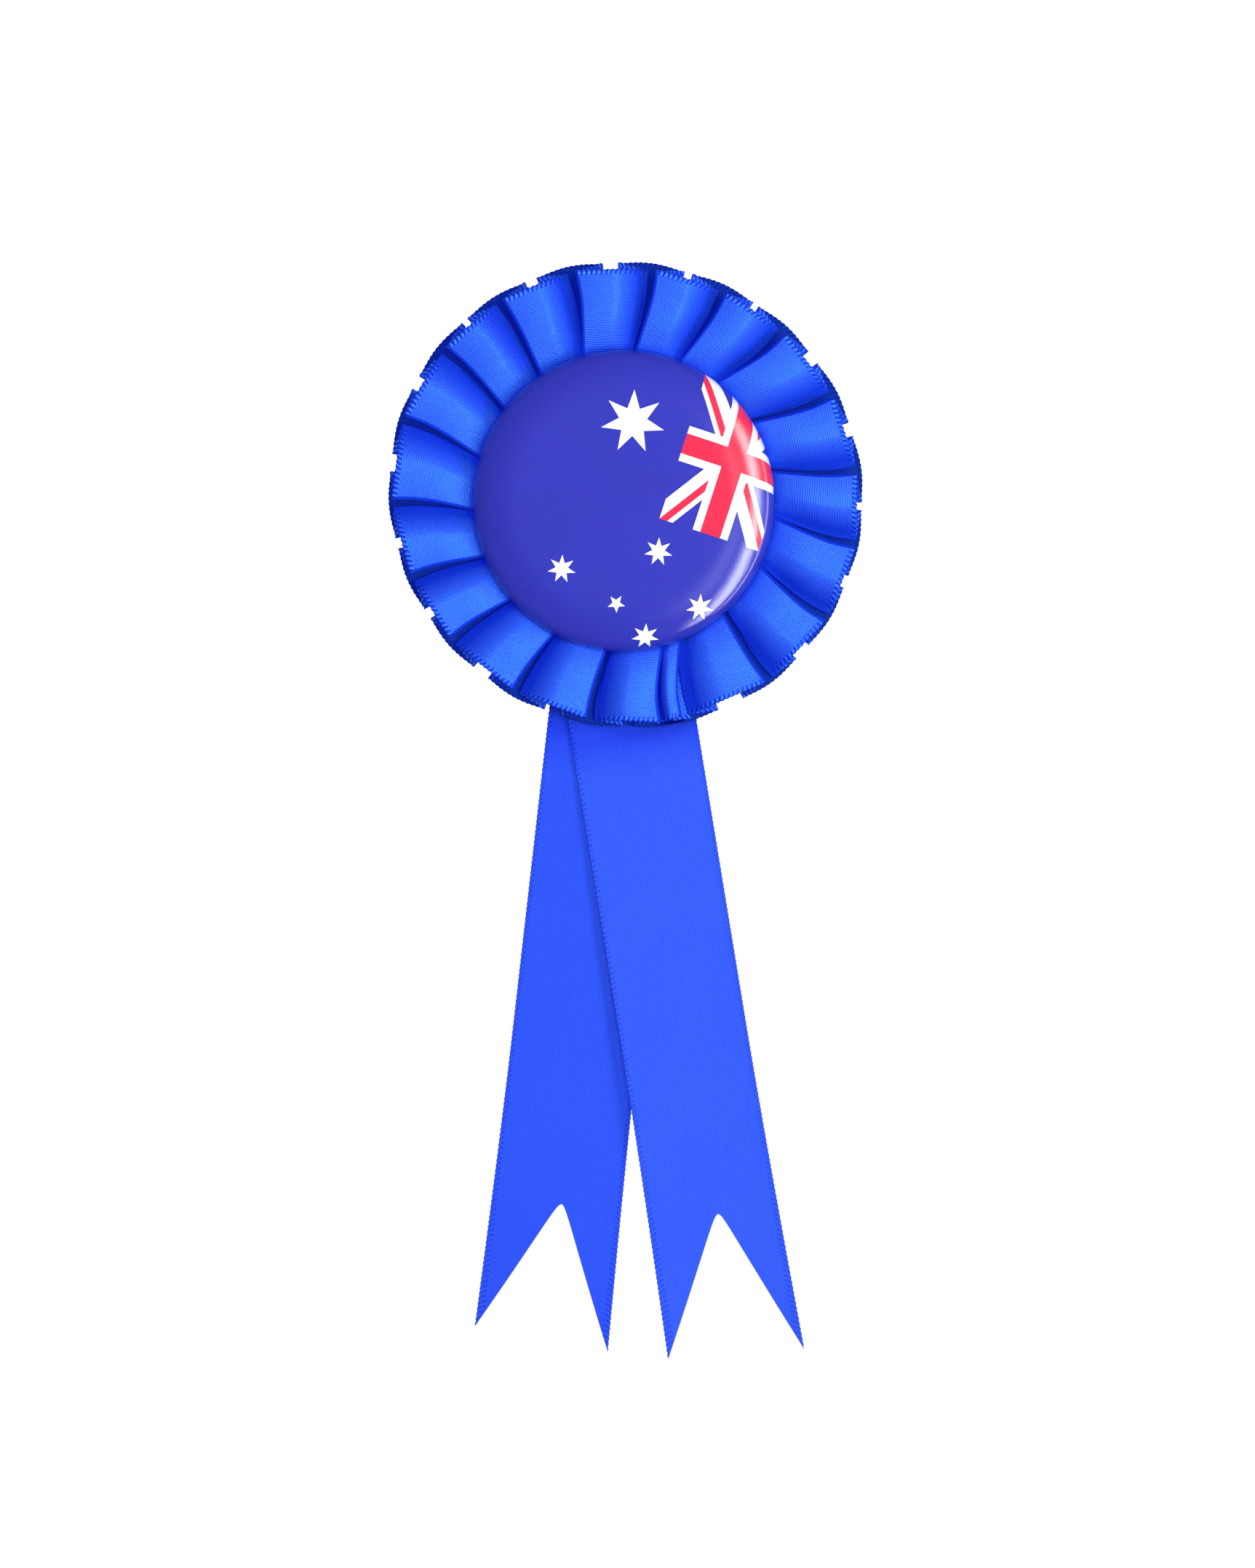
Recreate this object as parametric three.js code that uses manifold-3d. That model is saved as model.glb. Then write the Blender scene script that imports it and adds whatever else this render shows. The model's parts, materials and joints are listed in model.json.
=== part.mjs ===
import * as THREE from 'three';
import * as BufferGeometryUtils from 'three/addons/utils/BufferGeometryUtils.js';
import Module from 'manifold-3d';

const wasm = await Module();
wasm.setup();

// An award rosette as it is worn: +Z is up and the front looks along -Y. The origin is on
// the flat of the back card's rear face, under the brooch pin, where the cloth lies against
// it. Pieces are drawn round the ring's middle, and the whole group stands RING_Z higher.
// Heights are millimetres in front of the back card's rear face.

// ---- Driving dimensions, millimetres and degrees ----

const RING_Z = 18;                // the ring's middle above the origin
const GAP = 0.3;                  // air between neighbouring pieces
const RIBBON_WIDTH = 25;          // satin ribbon of the pleats and of the tails
const RIBBON_THICK = 0.3;

const BADGE_DIAMETER = 58;        // a standard button badge
const BADGE_OFFSET = -0.4;        // the badge was stuck on a little low and to the left
const BADGE_BOTTOM = 9.2;
const DOME_RADIUS = 200;          // the nearly flat middle of the badge
const SHOULDER_RADIUS = 3;        // the rounded edge of the badge
const SHOULDER_HEIGHT = 1.0;      // middle of the shoulder above the badge's bottom

const BACK_CARD = { radius: 26, bottom: 0, thick: 1.0 };
const ADHESIVE = { radius: 24, bottom: 1.3, thick: 0.2 };
const ADHESIVE_WINDOW = { left: -8, right: 6, top: -13, bottom: -21 };    // free round the staples
const LEFT_ROOT_BOTTOM = 2.1;
const RIGHT_ROOT_BOTTOM = 2.7;
const FRONT_CARD = { radius: 27, bottom: 3.3, thick: 1.0 };
const GLUE_RING = { inner: 21, outer: 26, bottom: 4.6, thick: 0.2 };
const BADGE_PAD = { radius: 13, bottom: 4.6, top: 9.2 };
const BADGE_FILM = 0.25;
const BADGE_PAPER = 0.25;
const BADGE_TIN = 0.4;
const BADGE_ROLL = 105;           // degrees that the layers turn round the edge
const CLOSING_PLATE = { radius: 24.6, bottom: 0.6, thick: 1.0 };     // above the badge's bottom

// Pleats. Angles are clockwise from the top, seen from the front.
const PLEATS = 18;
const FIRST_FOLD = 171.6;         // the ribbon's first fold, just past the bottom
const PLEAT_PITCH = 19.5;
const JOIN_PITCH = 9.0;           // the narrow last pleat that hides the join
const SLOW_SWAY = 1.65;           // hand folding: the pitch drifts once round the ring
const QUICK_SWAY = 0.76;          // and wavers over every three or four pleats
const FOLD_LEAN = 0.19;           // degrees that a fold line leans per millimetre inward
const FRONT_RADIUS = 44.7;        // front fold corners at the outer selvedge
const REAR_RADIUS = 45.2;         // rear fold corners at the outer selvedge
const REAR_RISE = 0.7;            // the rear folds stand this much further out at the top
const INNER_RADIUS = 20.3;        // inner selvedge, under the badge

// The two cross-sections of a pleat, at the outer and the inner selvedge.
const OUTER_PLEAT = { tuck: 5.3, gap: 1.3, rear: 5.25, low: 6.9, high: 8.4, crown: 0.7 };
const INNER_PLEAT = { tuck: 2.4, gap: -0.3, rear: 5.25, low: 6.6, high: 7.6, crown: 0.2 };
const FRONT_FOLD = 0.4;           // bend radius of the two front folds
const REAR_FOLD = 0.35;           // bend radius of the two rear folds

// Tails. x and z give the hinge line's middle, tilt is away from straight down.
const TAIL_HINGE_Z = -45.6;
const LEFT_TAIL = { x: -3.1, tilt: -6.5, outer: 116.5, inner: 118.5, notch: 91, bottom: LEFT_ROOT_BOTTOM };
const RIGHT_TAIL = { x: 1.7, tilt: 9.3, outer: 122, inner: 119.7, notch: 93.7, bottom: RIGHT_ROOT_BOTTOM };
const TAIL_TOP = 34;              // ribbon above the hinge line, up between the cards
const TAIL_HALF_TOP = 12.3;
const TAIL_HALF_TIP = 13.1;       // the cut ends spread a little
const NOTCH_RADIUS = 0.9;

// Staples through the front card and both tails, below the middle.
const STAPLE = { wire: 0.5, crown: 10, clinched: 3, x: -1.2, bottom: 1.3, top: 4.8 };
const STAPLE_HEIGHTS = [-15.2, -18.8];
const LEG_HOLE = 0.75;            // corner radius of the holes that the wire passes through

// Brooch pin on the back. Depths are millimetres behind the back card.
const PIN_Z = 12;
const PIN_PAD = { length: 26, width: 5, front: 0.3, thick: 1.0 };
const PIN_BAR = { length: 37, width: 5, front: 1.6, thick: 0.8, hole: 2.2, holeX: 8 };
const NEEDLE = { x: -16, depth: 5.0, radius: 0.4, point: 4, blunt: 0.08, tip: 17.6, eye: 1.5, eyeHole: 0.9 };
const EAR = { length: 3.4, thick: 0.6, depth: 6.6 };
const RIVET = { radius: 0.6, head: 1.1, headThick: 0.5 };
const CATCH = { x: 13.6, length: 3.4, outer: 2.2, inner: 1.6, slot: 80 };
const LOCK = { outer: 1.3, inner: 0.75, slot: 50, tab: 3.2, tabAngle: -66, tabThick: 0.5 };

// ---- Finishes ----

const SATIN = finish(0x2a5cf0, 0.45, 0);
const SATIN_REAR = finish(0x1f49d8, 0.5, 0);
const PRINT = finish(0x3d3bbf, 0.4, 0);
const FILM = finish(0xd8dcf0, 0.05, 0);
const TINPLATE = finish(0xb9bcc2, 0.3, 1);
const BRIGHT_STEEL = finish(0xd0d2d6, 0.25, 1);
const CARD = finish(0xe9e6dd, 0.85, 0);
const FOAM = finish(0xf4f4f0, 0.9, 0);
const GLUE = finish(0xe8dfc6, 0.5, 0);

function finish(color, roughness, metalness) {
  return new THREE.MeshStandardMaterial({ color, roughness, metalness });
}

// ---- Helpers ----

const radians = THREE.MathUtils.degToRad;
const rosette = new THREE.Group();

function add(name, geometry, material) {
  const mesh = new THREE.Mesh(geometry, material);
  mesh.name = name;
  rosette.add(mesh);
  return mesh;
}

// A flat piece cut from a sheet: the outline's x and y become x and z.
function sheet(shape, bottom, thick, curveSegments = 24) {
  const geometry = new THREE.ExtrudeGeometry(shape, { depth: thick, bevelEnabled: false, curveSegments });
  geometry.rotateX(Math.PI / 2);
  geometry.translate(0, -bottom, 0);
  return geometry;
}

function disc(radius) {
  return new THREE.Shape().absarc(0, 0, radius, 0, 2 * Math.PI);
}

function circlePath(x, z, radius) {
  return new THREE.Path().absarc(x, z, radius, 0, 2 * Math.PI, true);
}

// A six-sided hole for one staple leg.
function legHole(x, z) {
  const corners = [];
  for (let step = 0; step < 6; step += 1) {
    const angle = radians(10 - 60 * step);
    corners.push(new THREE.Vector2(x + LEG_HOLE * Math.cos(angle), z + LEG_HOLE * Math.sin(angle)));
  }
  return new THREE.Path(corners);
}

function toSolid(geometry) {
  const bare = geometry.clone();
  bare.deleteAttribute('normal');
  bare.deleteAttribute('uv');
  const merged = BufferGeometryUtils.mergeVertices(bare, 1e-4);
  const vertProperties = new Float32Array(merged.attributes.position.array);
  const triVerts = new Uint32Array(merged.index.array);
  return new wasm.Manifold(new wasm.Mesh({ numProp: 3, vertProperties, triVerts }));
}

function toGeometry(solid) {
  const mesh = solid.getMesh();
  const geometry = new THREE.BufferGeometry();
  geometry.setAttribute('position', new THREE.BufferAttribute(mesh.vertProperties, 3));
  geometry.setIndex(new THREE.BufferAttribute(mesh.triVerts, 1));
  return geometry;
}

function box(x, y, z, width, depth, height) {
  return new THREE.BoxGeometry(width, depth, height).translate(x, y, z);
}

// ---- Badge ----

// Points on an arc in a profile: angles run from the front towards the rim.
function arc(centreRadius, centreHeight, radius, from, to, steps) {
  const points = [];
  for (let step = 0; step <= steps; step += 1) {
    const angle = THREE.MathUtils.lerp(from, to, step / steps);
    const r = centreRadius + radius * Math.sin(angle);
    points.push(new THREE.Vector2(r, centreHeight + radius * Math.cos(angle)));
  }
  return points;
}

// Outline of one badge layer, from the axis over the dome and round the shoulder.
// inset is how far the layer lies inside the badge's outer surface.
function badgeCurve(inset) {
  const centreRadius = BADGE_DIAMETER / 2 - SHOULDER_RADIUS;
  const reach = DOME_RADIUS - SHOULDER_RADIUS;
  const domeCentre = SHOULDER_HEIGHT - Math.sqrt(reach ** 2 - centreRadius ** 2);
  const meet = Math.asin(centreRadius / reach);
  const dome = arc(0, domeCentre, DOME_RADIUS - inset, 0, meet, 3);
  const end = radians(BADGE_ROLL);
  const shoulder = arc(centreRadius, SHOULDER_HEIGHT, SHOULDER_RADIUS - inset, meet, end, 5);
  return [...dome, ...shoulder.slice(1)];
}

function badgeLayer(inset, thick) {
  return turned([...badgeCurve(inset), ...badgeCurve(inset + thick).reverse()]);
}

// Turns a profile of radius and height above the badge's bottom round the badge's axis.
function turned(profile) {
  const geometry = new THREE.LatheGeometry(profile, 36);
  geometry.rotateX(Math.PI);
  geometry.translate(BADGE_OFFSET, -BADGE_BOTTOM, BADGE_OFFSET);
  return outward(geometry);
}

// Turns the triangles round if the surface faces inward.
function outward(geometry) {
  const bare = geometry.clone();
  bare.deleteAttribute('normal');
  bare.deleteAttribute('uv');
  const merged = BufferGeometryUtils.mergeVertices(bare, 1e-4);
  const position = merged.attributes.position;
  const index = merged.index.array;
  const kept = [];
  let volume = 0;
  for (let i = 0; i < index.length; i += 3) {
    const [a, b, c] = [index[i], index[i + 1], index[i + 2]];
    if (a === b || b === c || c === a) continue;
    kept.push([a, b, c]);
    const [p, q, r] = [a, b, c].map((k) => new THREE.Vector3().fromBufferAttribute(position, k));
    volume += p.dot(q.cross(r));
  }
  merged.setIndex(kept.flatMap(([a, b, c]) => (volume > 0 ? [a, b, c] : [a, c, b])));
  return merged;
}

function buildBadge() {
  const printInset = BADGE_FILM + GAP;
  const shellInset = printInset + BADGE_PAPER + GAP;
  add('badge_film', badgeLayer(0, BADGE_FILM), FILM);
  add('badge_print', badgeLayer(printInset, BADGE_PAPER), PRINT);
  add('badge_shell', badgeLayer(shellInset, BADGE_TIN), TINPLATE);
  const { radius, bottom, thick } = CLOSING_PLATE;
  const plate = turned([
    new THREE.Vector2(0, bottom + thick),
    new THREE.Vector2(radius, bottom + thick),
    new THREE.Vector2(radius, bottom),
    new THREE.Vector2(0, bottom),
  ]);
  add('badge_back_plate', plate, BRIGHT_STEEL);
  const pad = sheet(disc(BADGE_PAD.radius), BADGE_PAD.bottom, BADGE_PAD.top - BADGE_PAD.bottom, 16);
  add('badge_pad', pad, FOAM);
}

// ---- Pleated ring ----

function foldAngle(index) {
  if (index > PLEATS) return foldAngle(PLEATS) + JOIN_PITCH * (index - PLEATS);
  const slow = SLOW_SWAY * Math.sin((2 * Math.PI * (index - 1.4)) / PLEATS);
  const quick = QUICK_SWAY * Math.sin((2 * Math.PI * (index - 2.2)) / 3.56);
  return FIRST_FOLD + PLEAT_PITCH * index + slow + quick;
}

// The middle line of the whole ribbon at one selvedge, as stations with an angle, a height
// in front of the back card and a radius.
function ribbonSection(pleat, radius, rearRadius, lean) {
  const perMm = 1 / radius;
  const stations = [];
  const push = (angle, height, r) => stations.push({ angle, height, radius: r });

  // A half circle of three points round a fold; side is +1 where it bulges clockwise.
  const fold = (angle, height, bend, side, from, r) => {
    for (const turn of [-1, 0, 1]) {
      const out = turn === 0 ? bend : 0;
      push(angle + side * out * perMm, height + from * turn * bend, r);
    }
  };
  const rearAt = (angle) => rearRadius + (rearRadius > INNER_RADIUS ? REAR_RISE * Math.cos(angle) : 0);

  for (let index = 0; index <= PLEATS; index += 1) {
    const start = radians(foldAngle(index) - lean);
    const next = radians(foldAngle(index + 1) - lean);
    const front = { from: start + FRONT_FOLD * perMm, to: next - (pleat.gap + FRONT_FOLD) * perMm };

    // From the rear fold up to the front fold on the pleat's left, then over it.
    if (index === 0) {
      const cut = start + (pleat.tuck - REAR_FOLD) * perMm;
      push(cut, pleat.rear + 2 * REAR_FOLD, rearAt(cut));
    }
    fold(front.from, pleat.high, FRONT_FOLD, -1, 1, radius);

    // The crowned front panel, whose outer edge is straight.
    const middle = (start + next) / 2;
    const half = (next - start) / 2;
    for (const share of [0.25, 0.5, 0.75]) {
      const angle = THREE.MathUtils.lerp(front.from, front.to, share);
      const rise = pleat.crown * Math.sin(Math.PI * share);
      const height = THREE.MathUtils.lerp(pleat.high, pleat.low, share) + FRONT_FOLD + rise;
      const chord = radius * (Math.cos(half) / Math.cos(angle - middle));
      push(angle, height, chord);
    }
    fold(front.to, pleat.low, FRONT_FOLD, 1, -1, radius);

    // Back under the panel, round the rear fold, and across behind the next fold.
    const left = next - (pleat.gap + pleat.tuck) * perMm;
    const right = next + (pleat.tuck - REAR_FOLD) * perMm;
    fold(left, pleat.rear + REAR_FOLD, REAR_FOLD, -1, -1, rearAt(left));
    if (index < PLEATS) {
      fold(right, pleat.rear + REAR_FOLD, REAR_FOLD, 1, 1, rearAt(right));
    } else {
      push(right, pleat.rear, rearAt(next));
    }
  }
  return stations;
}

// Moves a section's middle line to one side by half the ribbon's thickness.
function offsetSection(stations, side) {
  return stations.map((here, i) => {
    const before = stations[Math.max(i - 1, 0)];
    const after = stations[Math.min(i + 1, stations.length - 1)];
    const along = new THREE.Vector2((after.angle - before.angle) * here.radius, after.height - before.height);
    along.normalize().multiplyScalar((side * RIBBON_THICK) / 2);
    const angle = here.angle - along.y / here.radius;
    const height = here.height + along.x;
    return new THREE.Vector3(here.radius * Math.sin(angle), -height, here.radius * Math.cos(angle));
  });
}

function pleatedRibbon() {
  const innerLean = FOLD_LEAN * (FRONT_RADIUS - INNER_RADIUS);
  const outer = ribbonSection(OUTER_PLEAT, FRONT_RADIUS, REAR_RADIUS, 0);
  const inner = ribbonSection(INNER_PLEAT, INNER_RADIUS, INNER_RADIUS, innerLean);
  const rails = [
    offsetSection(outer, 1),
    offsetSection(outer, -1),
    offsetSection(inner, -1),
    offsetSection(inner, 1),
  ];
  const count = outer.length;
  const positions = [];
  for (let i = 0; i < count; i += 1) {
    for (const rail of rails) positions.push(...rail[i].toArray());
  }
  const index = [];
  for (let i = 0; i + 1 < count; i += 1) {
    for (let k = 0; k < 4; k += 1) {
      const a = 4 * i + k;
      const b = 4 * i + ((k + 1) % 4);
      index.push(a, b, a + 4, b, b + 4, a + 4);
    }
  }
  const last = 4 * (count - 1);
  index.push(0, 2, 1, 0, 3, 2);
  index.push(last, last + 1, last + 2, last, last + 2, last + 3);
  const geometry = new THREE.BufferGeometry();
  geometry.setAttribute('position', new THREE.Float32BufferAttribute(positions, 3));
  geometry.setIndex(index);
  return outward(geometry);
}

function buildRing() {
  add('pleated_ribbon', pleatedRibbon(), SATIN);
  const ring = disc(GLUE_RING.outer);
  ring.holes.push(circlePath(0, 0, GLUE_RING.inner));
  add('pleat_glue_ring', sheet(ring, GLUE_RING.bottom, GLUE_RING.thick), GLUE);
}

// ---- Tails ----

// A point on a tail: across to its right, down along it from the hinge line.
function onTail(tail, across, down) {
  const tilt = radians(tail.tilt);
  const x = tail.x + across * Math.cos(tilt) + down * Math.sin(tilt);
  const z = TAIL_HINGE_Z + across * Math.sin(tilt) - down * Math.cos(tilt);
  return new THREE.Vector2(x, z);
}

function freeTail(tail) {
  const outerSide = Math.sign(tail.tilt);
  const lengths = outerSide > 0 ? [tail.inner, tail.outer] : [tail.outer, tail.inner];
  const outline = [
    onTail(tail, -TAIL_HALF_TOP, GAP),
    onTail(tail, -TAIL_HALF_TIP, lengths[0]),
  ];
  for (const turn of [-60, -20, 20, 60]) {
    const across = NOTCH_RADIUS * Math.sin(radians(turn));
    const down = tail.notch + NOTCH_RADIUS * (1 - Math.cos(radians(turn)));
    outline.push(onTail(tail, across, down));
  }
  outline.push(onTail(tail, TAIL_HALF_TIP, lengths[1]));
  outline.push(onTail(tail, TAIL_HALF_TOP, GAP));
  return sheet(new THREE.Shape(outline), tail.bottom, RIBBON_THICK);
}

function legPoints() {
  const legs = [];
  for (const z of STAPLE_HEIGHTS) {
    for (const side of [-1, 1]) {
      legs.push([STAPLE.x + (side * (STAPLE.crown - STAPLE.wire)) / 2, z]);
    }
  }
  return legs;
}

function tailRoot(tail) {
  const outline = new THREE.Shape([
    onTail(tail, -TAIL_HALF_TOP, 0),
    onTail(tail, TAIL_HALF_TOP, 0),
    onTail(tail, TAIL_HALF_TOP, -TAIL_TOP),
    onTail(tail, -TAIL_HALF_TOP, -TAIL_TOP),
  ]);
  for (const [x, z] of legPoints()) outline.holes.push(legHole(x, z));
  return sheet(outline, tail.bottom, RIBBON_THICK);
}

function buildTails() {
  add('left_tail_root', tailRoot(LEFT_TAIL), SATIN_REAR);
  add('left_tail', freeTail(LEFT_TAIL), SATIN_REAR);
  add('right_tail_root', tailRoot(RIGHT_TAIL), SATIN);
  add('right_tail', freeTail(RIGHT_TAIL), SATIN);
}

// ---- Cards and staples ----

function staple(z) {
  const { wire, crown, clinched, x, bottom, top } = STAPLE;
  const left = x - crown / 2;
  const right = x + crown / 2;
  const clinch = top + wire;
  const outline = new THREE.Shape([
    new THREE.Vector2(left, -bottom),
    new THREE.Vector2(left, -clinch),
    new THREE.Vector2(left + clinched, -clinch),
    new THREE.Vector2(left + clinched, -top),
    new THREE.Vector2(left + wire, -top),
    new THREE.Vector2(left + wire, -bottom - wire),
    new THREE.Vector2(right - wire, -bottom - wire),
    new THREE.Vector2(right - wire, -top),
    new THREE.Vector2(right - clinched, -top),
    new THREE.Vector2(right - clinched, -clinch),
    new THREE.Vector2(right, -clinch),
    new THREE.Vector2(right, -bottom),
  ]);
  const geometry = new THREE.ExtrudeGeometry(outline, { depth: wire, bevelEnabled: false });
  return geometry.translate(0, 0, z - wire / 2);
}

function buildCards() {
  add('back_card', sheet(disc(BACK_CARD.radius), BACK_CARD.bottom, BACK_CARD.thick), CARD);
  const adhesive = disc(ADHESIVE.radius);
  const { left, right, top, bottom } = ADHESIVE_WINDOW;
  adhesive.holes.push(new THREE.Path([
    new THREE.Vector2(left, bottom),
    new THREE.Vector2(left, top),
    new THREE.Vector2(right, top),
    new THREE.Vector2(right, bottom),
  ]));
  add('card_adhesive', sheet(adhesive, ADHESIVE.bottom, ADHESIVE.thick), GLUE);
  const front = disc(FRONT_CARD.radius);
  for (const [x, z] of legPoints()) front.holes.push(legHole(x, z));
  add('front_card', sheet(front, FRONT_CARD.bottom, FRONT_CARD.thick), CARD);
  add('upper_tail_staple', staple(STAPLE_HEIGHTS[0]), BRIGHT_STEEL);
  add('lower_tail_staple', staple(STAPLE_HEIGHTS[1]), BRIGHT_STEEL);
}

// ---- Brooch pin ----

// A ring open over a slot that faces away from the rosette, running along x.
function openBarrel(inner, outer, slot, length, x, tab) {
  const from = radians(90 + slot);
  const to = radians(90 - slot) + 2 * Math.PI;
  const outline = new THREE.Shape();
  outline.absarc(0, 0, outer, from, to, false);
  outline.absarc(0, 0, inner, to, from, true);
  const options = { depth: length, bevelEnabled: false, curveSegments: 14 };
  let solid = toSolid(new THREE.ExtrudeGeometry(outline, options));
  if (tab) {
    const reach = tab.tab - (inner + outer) / 2;
    const blade = new THREE.BoxGeometry(tab.tabThick, reach, length / 2);
    blade.translate(0, (inner + outer) / 2 + reach / 2, length / 2);
    blade.rotateZ(radians(tab.tabAngle));
    solid = solid.add(toSolid(blade));
  }
  const barrel = toGeometry(solid);
  // The drawing's x and y become z and y, and its depth becomes x.
  const turn = new THREE.Matrix4().makeBasis(
    new THREE.Vector3(0, 0, -1),
    new THREE.Vector3(0, 1, 0),
    new THREE.Vector3(1, 0, 0),
  );
  barrel.applyMatrix4(turn);
  return barrel.translate(x, NEEDLE.depth, PIN_Z);
}

function pinBar() {
  const middle = PIN_BAR.front + PIN_BAR.thick / 2;
  let bar = toSolid(box(0, middle, PIN_Z, PIN_BAR.length, PIN_BAR.thick, PIN_BAR.width));
  const earDepth = EAR.depth - PIN_BAR.front;
  for (const side of [-1, 1]) {
    const z = PIN_Z + side * (PIN_BAR.width / 2 - EAR.thick / 2);
    const ear = box(NEEDLE.x, PIN_BAR.front + earDepth / 2, z, EAR.length, earDepth, EAR.thick);
    bar = bar.add(toSolid(ear));
  }
  const hinge = new THREE.CylinderGeometry(RIVET.radius + GAP, RIVET.radius + GAP, 2 * PIN_BAR.width, 12);
  hinge.rotateX(Math.PI / 2).translate(NEEDLE.x, NEEDLE.depth, PIN_Z);
  bar = bar.subtract(toSolid(hinge));
  for (const side of [-1, 1]) {
    const hole = new THREE.CylinderGeometry(PIN_BAR.hole / 2, PIN_BAR.hole / 2, 2 * PIN_BAR.thick, 16);
    hole.translate(side * PIN_BAR.holeX, middle, PIN_Z);
    bar = bar.subtract(toSolid(hole));
  }
  return toGeometry(bar);
}

function needle() {
  const outline = new THREE.Shape();
  const join = Math.asin(NEEDLE.radius / NEEDLE.eye);
  const reach = NEEDLE.tip - NEEDLE.x;
  outline.absarc(0, 0, NEEDLE.eye, join, 2 * Math.PI - join, false);
  outline.lineTo(reach - NEEDLE.point, -NEEDLE.radius);
  outline.lineTo(reach, -NEEDLE.blunt);
  outline.lineTo(reach, NEEDLE.blunt);
  outline.lineTo(reach - NEEDLE.point, NEEDLE.radius);
  outline.holes.push(circlePath(0, 0, NEEDLE.eyeHole));
  const options = { depth: 2 * NEEDLE.radius, bevelEnabled: false, curveSegments: 10 };
  const geometry = new THREE.ExtrudeGeometry(outline, options);
  return geometry.translate(NEEDLE.x, NEEDLE.depth, PIN_Z - NEEDLE.radius);
}

function rivet() {
  const half = PIN_BAR.width / 2 + GAP;
  const profile = [
    new THREE.Vector2(0, -half - RIVET.headThick),
    new THREE.Vector2(RIVET.head, -half - RIVET.headThick),
    new THREE.Vector2(RIVET.head, -half),
    new THREE.Vector2(RIVET.radius, -half),
    new THREE.Vector2(RIVET.radius, half),
    new THREE.Vector2(RIVET.head, half),
    new THREE.Vector2(RIVET.head, half + RIVET.headThick),
    new THREE.Vector2(0, half + RIVET.headThick),
  ];
  const geometry = new THREE.LatheGeometry(profile, 12);
  geometry.rotateX(Math.PI / 2).translate(NEEDLE.x, NEEDLE.depth, PIN_Z);
  return outward(geometry);
}

function buildPin() {
  const padMiddle = PIN_PAD.front + PIN_PAD.thick / 2;
  add('pin_pad', box(0, padMiddle, PIN_Z, PIN_PAD.length, PIN_PAD.thick, PIN_PAD.width), FOAM);
  add('pin_bar', pinBar(), BRIGHT_STEEL);
  add('pin_rivet', rivet(), BRIGHT_STEEL);
  add('pin_needle', needle(), BRIGHT_STEEL);
  add('pin_catch', openBarrel(CATCH.inner, CATCH.outer, CATCH.slot, CATCH.length, CATCH.x), BRIGHT_STEEL);
  add('pin_lock', openBarrel(LOCK.inner, LOCK.outer, LOCK.slot, CATCH.length, CATCH.x, LOCK), BRIGHT_STEEL);
}

buildBadge();
buildRing();
buildTails();
buildCards();
buildPin();
rosette.position.z = RING_Z;

export default rosette;
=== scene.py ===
import json
import random
from math import asin, atan2, cos, degrees, hypot, pi, radians, sin, sqrt

import bmesh
import bpy
import numpy as np
from mathutils import Matrix, Vector


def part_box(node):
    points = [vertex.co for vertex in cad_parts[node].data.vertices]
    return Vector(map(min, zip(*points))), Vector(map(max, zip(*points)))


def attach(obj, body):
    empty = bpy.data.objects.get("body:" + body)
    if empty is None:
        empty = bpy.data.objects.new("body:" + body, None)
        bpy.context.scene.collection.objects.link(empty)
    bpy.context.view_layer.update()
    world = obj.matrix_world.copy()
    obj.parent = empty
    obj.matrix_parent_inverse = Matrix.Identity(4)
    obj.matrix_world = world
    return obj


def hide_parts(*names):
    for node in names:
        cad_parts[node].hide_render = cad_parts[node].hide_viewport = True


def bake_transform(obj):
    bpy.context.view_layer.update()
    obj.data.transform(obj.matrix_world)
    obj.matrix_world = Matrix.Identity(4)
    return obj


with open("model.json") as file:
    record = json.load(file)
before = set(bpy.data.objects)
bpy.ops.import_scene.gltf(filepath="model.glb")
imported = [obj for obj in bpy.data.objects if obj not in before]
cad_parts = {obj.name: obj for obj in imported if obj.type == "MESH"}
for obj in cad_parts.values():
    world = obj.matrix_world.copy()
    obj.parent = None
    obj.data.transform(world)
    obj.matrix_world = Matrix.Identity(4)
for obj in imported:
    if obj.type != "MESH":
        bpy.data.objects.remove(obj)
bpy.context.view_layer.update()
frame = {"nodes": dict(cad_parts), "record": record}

# An award rosette as it is worn: +Z up, the front looks along -Y. Blender works in metres.
# Lengths below are millimetres unless a name says otherwise, and mm() turns them into metres.
MM = 0.001


def mm(value):
    return value * MM


def node_low(name):
    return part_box(name)[0] / MM


def node_high(name):
    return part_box(name)[1] / MM


def ends(name):
    return node_low(name), node_high(name)


def centre_of(name):
    return (node_low(name) + node_high(name)) / 2


def size_of(name):
    return node_high(name) - node_low(name)


# ---- Sizes, taken from the frame where the frame has them ----

RIBBON_WIDTH = 25.0
CLOTH = 0.22                     # thickness of the satin

BADGE_RADIUS = (node_high("badge_film").x - node_low("badge_film").x) / 2
BADGE_X = (node_high("badge_film").x + node_low("badge_film").x) / 2
BADGE_Z = (node_high("badge_film").z + node_low("badge_film").z) / 2
BADGE_TOP = -node_low("badge_film").y
BADGE_BOTTOM = 9.2
# The badge's front in section: a flat dome, a wide curve towards the rim and a tight one round it.
DOME_RADIUS = 400.0
DOME_REACH = 20.0                # radius at which the dome ends
BEND_RADIUS = 16.0
BEND_SLOPE = 30.0                # degrees, where the wide curve ends

RING_Z = (node_high("back_card").z + node_low("back_card").z) / 2

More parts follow.
